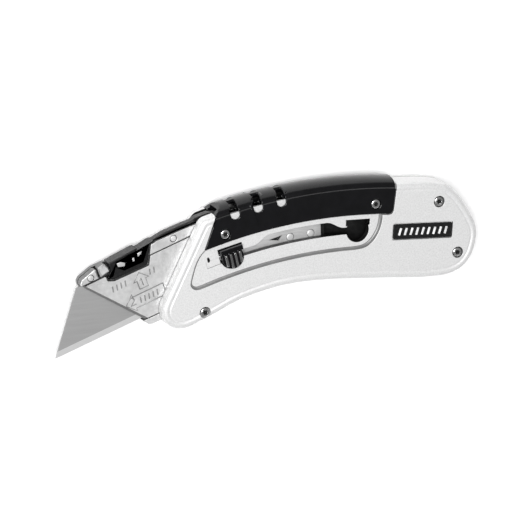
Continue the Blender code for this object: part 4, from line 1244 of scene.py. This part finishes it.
def make_blade():
    """The trapezoid blade, ground to an edge along its long side, with two notches."""
    middle = BLADE_LENGTH / 2
    back = 14.5
    notch_reach = 5.5
    corners = [(0, 0), (BLADE_LENGTH, 0), (BLADE_LENGTH - back, BLADE_HEIGHT)]
    for side in (1, -1):
        notch = middle + side * notch_reach
        corners += [(notch + 1.75, BLADE_HEIGHT), (notch + 1.2, BLADE_HEIGHT - 1.8),
                    (notch - 1.2, BLADE_HEIGHT - 1.8), (notch - 1.75, BLADE_HEIGHT)]
    corners.append((back, BLADE_HEIGHT))
    half = BLADE_THICKNESS / 2
    steps = []
    for side in (1, -1):
        wedge = [(-0.2, side * 0.04), (sizes().grind_width, side * half),
                 (sizes().grind_width, side * 2), (-0.2, side * 2)]
        cut = bmesh.new()
        ring = [cut.verts.new((*blade(-5, p), MID_Z + z)) for p, z in wedge]
        grown = bmesh.ops.extrude_face_region(cut, geom=[cut.faces.new(ring)])["geom"]
        reach = Vector(blade(BLADE_LENGTH + 5, 0)) - Vector(blade(-5, 0))
        bmesh.ops.translate(cut, verts=[g for g in grown if isinstance(g, bmesh.types.BMVert)],
                            vec=(reach.x, reach.y, 0))
        bmesh.ops.recalc_face_normals(cut, faces=cut.faces)
        steps.append(("DIFFERENCE", cut))
    body = combine(plate([blade(s, p) for s, p in corners], MID_Z - half, MID_Z + half), *steps)
    upwards = Vector((-math.sin(BLADE_TURN), math.cos(BLADE_TURN)))
    level = 0.9999

    def is_ground(at, way):
        up_from_edge = (Vector((at.x, at.y)) - Vector(blade(0, 0))).dot(upwards)
        return 0.02 < up_from_edge < sizes().grind_width and abs(way.z) < level

    looks = [look(ground_steel, "blade", BLADE_TURN, 0.25, 0.34),
             look(ground_steel, "grind", BLADE_TURN + math.pi / 2, 0.06, 0.36)]
    finish_piece("trapezoid_blade", paint(body, 1, is_ground), looks, "blade", ["blade"])


# ---------------------------------------------------------------- stage

def area_light(name, direction, target, size_x, size_y, power):
    """A rectangular lamp that shines on the target from a direction."""
    data = bpy.data.lights.new(name, "AREA")
    data.shape = "RECTANGLE"
    data.size = size_x
    data.size_y = size_y
    data.energy = power
    lamp = bpy.data.objects.new(name, data)
    way = Vector(direction).normalized()
    lamp.location = target + way * LIGHT_DISTANCE
    lamp.rotation_mode = "QUATERNION"
    lamp.rotation_quaternion = way.to_track_quat("Z", "Y")
    bpy.context.scene.collection.objects.link(lamp)


def make_stage():
    scene = bpy.context.scene
    scene.view_settings.view_transform = "Standard"
    target = in_frame(CAMERA_AIM_MM)
    toward = Vector(CAMERA_TOWARD).normalized()
    right = Vector(CAMERA_UPWARD).cross(toward).normalized()
    upward = toward.cross(right)
    data = bpy.data.cameras.new("camera")
    data.sensor_width = 36
    data.lens = CAMERA_LENS_MM
    data.clip_end = CAMERA_CLIP_END
    camera = bpy.data.objects.new("camera", data)
    camera.rotation_mode = "QUATERNION"
    camera.rotation_quaternion = Matrix((right, upward, toward)).transposed().to_quaternion()
    camera.location = target + toward  # a metre away
    scene.collection.objects.link(camera)
    scene.camera = camera

    paper = bmesh.new()
    bmesh.ops.create_grid(paper, x_segments=2, y_segments=2, size=FLOOR_HALF)
    bmesh.ops.translate(paper, verts=paper.verts, vec=(0, 0, FLOOR_Z))
    floor = loose_object("floor", paper)
    floor.data.materials.append(look(matt_floor, "floor"))

    world = bpy.data.worlds.new("soft_room")
    world.use_nodes = True
    tree = world.node_tree
    way = add(tree, "ShaderNodeSeparateXYZ",
              {0: add(tree, "ShaderNodeTexCoord").outputs["Generated"]})
    glow = add(tree, "ShaderNodeMapRange", {"Value": way.outputs["Y"], "From Min": -0.5,
                                            "From Max": 0.8, "To Min": 0.2, "To Max": 0.22})
    tree.links.new(glow.outputs["Result"], tree.nodes["Background"].inputs["Strength"])
    tree.nodes["Background"].inputs["Color"].default_value = (1, 1, 1, 1)
    scene.world = world
    area_light("key", (-0.36, 0.2, 0.91), target, size_x=0.6, size_y=0.5, power=15.6)
    area_light("overhead", (0.3, 0.95, 0.0), target, size_x=1.4, size_y=0.22, power=0.5)
    area_light("edge_strip", (0.3, -0.8, 0.5), target, size_x=1.3, size_y=0.1, power=0.8)


# ---------------------------------------------------------------- add-on

class KNIFE_OT_stage(Operator):
    """Set the floor, the lights and the camera."""
    bl_idname = "knife.stage"
    bl_label = "Build stage"

    def execute(self, context):
        make_stage()
        return {"FINISHED"}


class KNIFE_OT_shells(Operator):
    """Build the near shell and the far cover."""
    bl_idname = "knife.shells"
    bl_label = "Build shells"

    def execute(self, context):
        make_near_shell()
        make_far_cover()
        return {"FINISHED"}


class KNIFE_OT_saddle(Operator):
    """Build the black saddle over the spine."""
    bl_idname = "knife.saddle"
    bl_label = "Build saddle"

    def execute(self, context):
        make_saddle()
        return {"FINISHED"}


class KNIFE_OT_badge(Operator):
    """Build the badge plate and its plain ribs."""
    bl_idname = "knife.badge"
    bl_label = "Build badge"

    def execute(self, context):
        make_badge()
        return {"FINISHED"}


class KNIFE_OT_screws(Operator):
    """Build every screw of the handle."""
    bl_idname = "knife.screws"
    bl_label = "Build screws"

    def execute(self, context):
        make_screws()
        return {"FINISHED"}


class KNIFE_OT_carrier(Operator):
    """Build the cast frame that holds the blade."""
    bl_idname = "knife.carrier"
    bl_label = "Build carrier"

    def execute(self, context):
        make_carrier_frame()
        return {"FINISHED"}


class KNIFE_OT_cover(Operator):
    """Build the carrier's cover and its raised marks."""
    bl_idname = "knife.cover"
    bl_label = "Build carrier cover"

    def execute(self, context):
        make_carrier_cover()
        make_cover_marks()
        return {"FINISHED"}


class KNIFE_OT_nose(Operator):
    """Build the nose block and the latch block."""
    bl_idname = "knife.nose"
    bl_label = "Build nose blocks"

    def execute(self, context):
        make_nose_blocks()
        return {"FINISHED"}


class KNIFE_OT_rivets(Operator):
    """Build the carrier's rivets and the lever's pin."""
    bl_idname = "knife.rivets"
    bl_label = "Build rivets"

    def execute(self, context):
        make_rivets()
        return {"FINISHED"}


class KNIFE_OT_lock_spring(Operator):
    """Build the leaf that carries the thumb button."""
    bl_idname = "knife.lock_spring"
    bl_label = "Build lock spring"

    def execute(self, context):
        make_lock_spring()
        return {"FINISHED"}


class KNIFE_OT_thumb_button(Operator):
    """Build the thumb button and its ridges."""
    bl_idname = "knife.thumb_button"
    bl_label = "Build thumb button"

    def execute(self, context):
        make_thumb_button()
        return {"FINISHED"}


class KNIFE_OT_lever(Operator):
    """Build the blade release lever and the steel prongs in its window."""
    bl_idname = "knife.lever"
    bl_label = "Build release lever"

    def execute(self, context):
        make_release_lever()
        return {"FINISHED"}


class KNIFE_OT_lever_spring(Operator):
    """Build the coil under the release lever."""
    bl_idname = "knife.lever_spring"
    bl_label = "Build lever spring"

    def execute(self, context):
        make_lever_spring()
        return {"FINISHED"}


class KNIFE_OT_blade(Operator):
    """Build the trapezoid blade with its ground edge."""
    bl_idname = "knife.blade"
    bl_label = "Build blade"

    def execute(self, context):
        make_blade()
        return {"FINISHED"}


OPERATORS = (KNIFE_OT_stage, KNIFE_OT_shells, KNIFE_OT_saddle, KNIFE_OT_badge, KNIFE_OT_screws,
             KNIFE_OT_carrier, KNIFE_OT_cover, KNIFE_OT_nose, KNIFE_OT_rivets,
             KNIFE_OT_lock_spring, KNIFE_OT_thumb_button, KNIFE_OT_lever,
             KNIFE_OT_lever_spring, KNIFE_OT_blade)


class KNIFE_PT_pieces(Panel):
    """Sizes, colours, and one button for each piece or group of pieces"""
    bl_idname = "KNIFE_PT_pieces"
    bl_label = "Arc-slide utility knife"
    bl_space_type = "VIEW_3D"
    bl_region_type = "UI"
    bl_category = "Knife"

    def draw(self, context):
        for group in (context.scene.knife_sizes, context.scene.knife_colours):
            box = self.layout.box()
            for key in group.__annotations__:
                box.prop(group, key)
        for step in OPERATORS:
            self.layout.operator(step.bl_idname)


CLASSES = (KnifeSizes, KnifeColours) + OPERATORS + (KNIFE_PT_pieces,)


def register():
    for cls in CLASSES:
        bpy.utils.register_class(cls)
    bpy.types.Scene.knife_sizes = PointerProperty(type=KnifeSizes)
    bpy.types.Scene.knife_colours = PointerProperty(type=KnifeColours)


def unregister():
    del bpy.types.Scene.knife_colours
    del bpy.types.Scene.knife_sizes
    for cls in reversed(CLASSES):
        bpy.utils.unregister_class(cls)


def main():
    register()
    for step in OPERATORS:
        category, name = step.bl_idname.split(".")
        getattr(getattr(bpy.ops, category), name)()


if __name__ == "__main__":
    main()
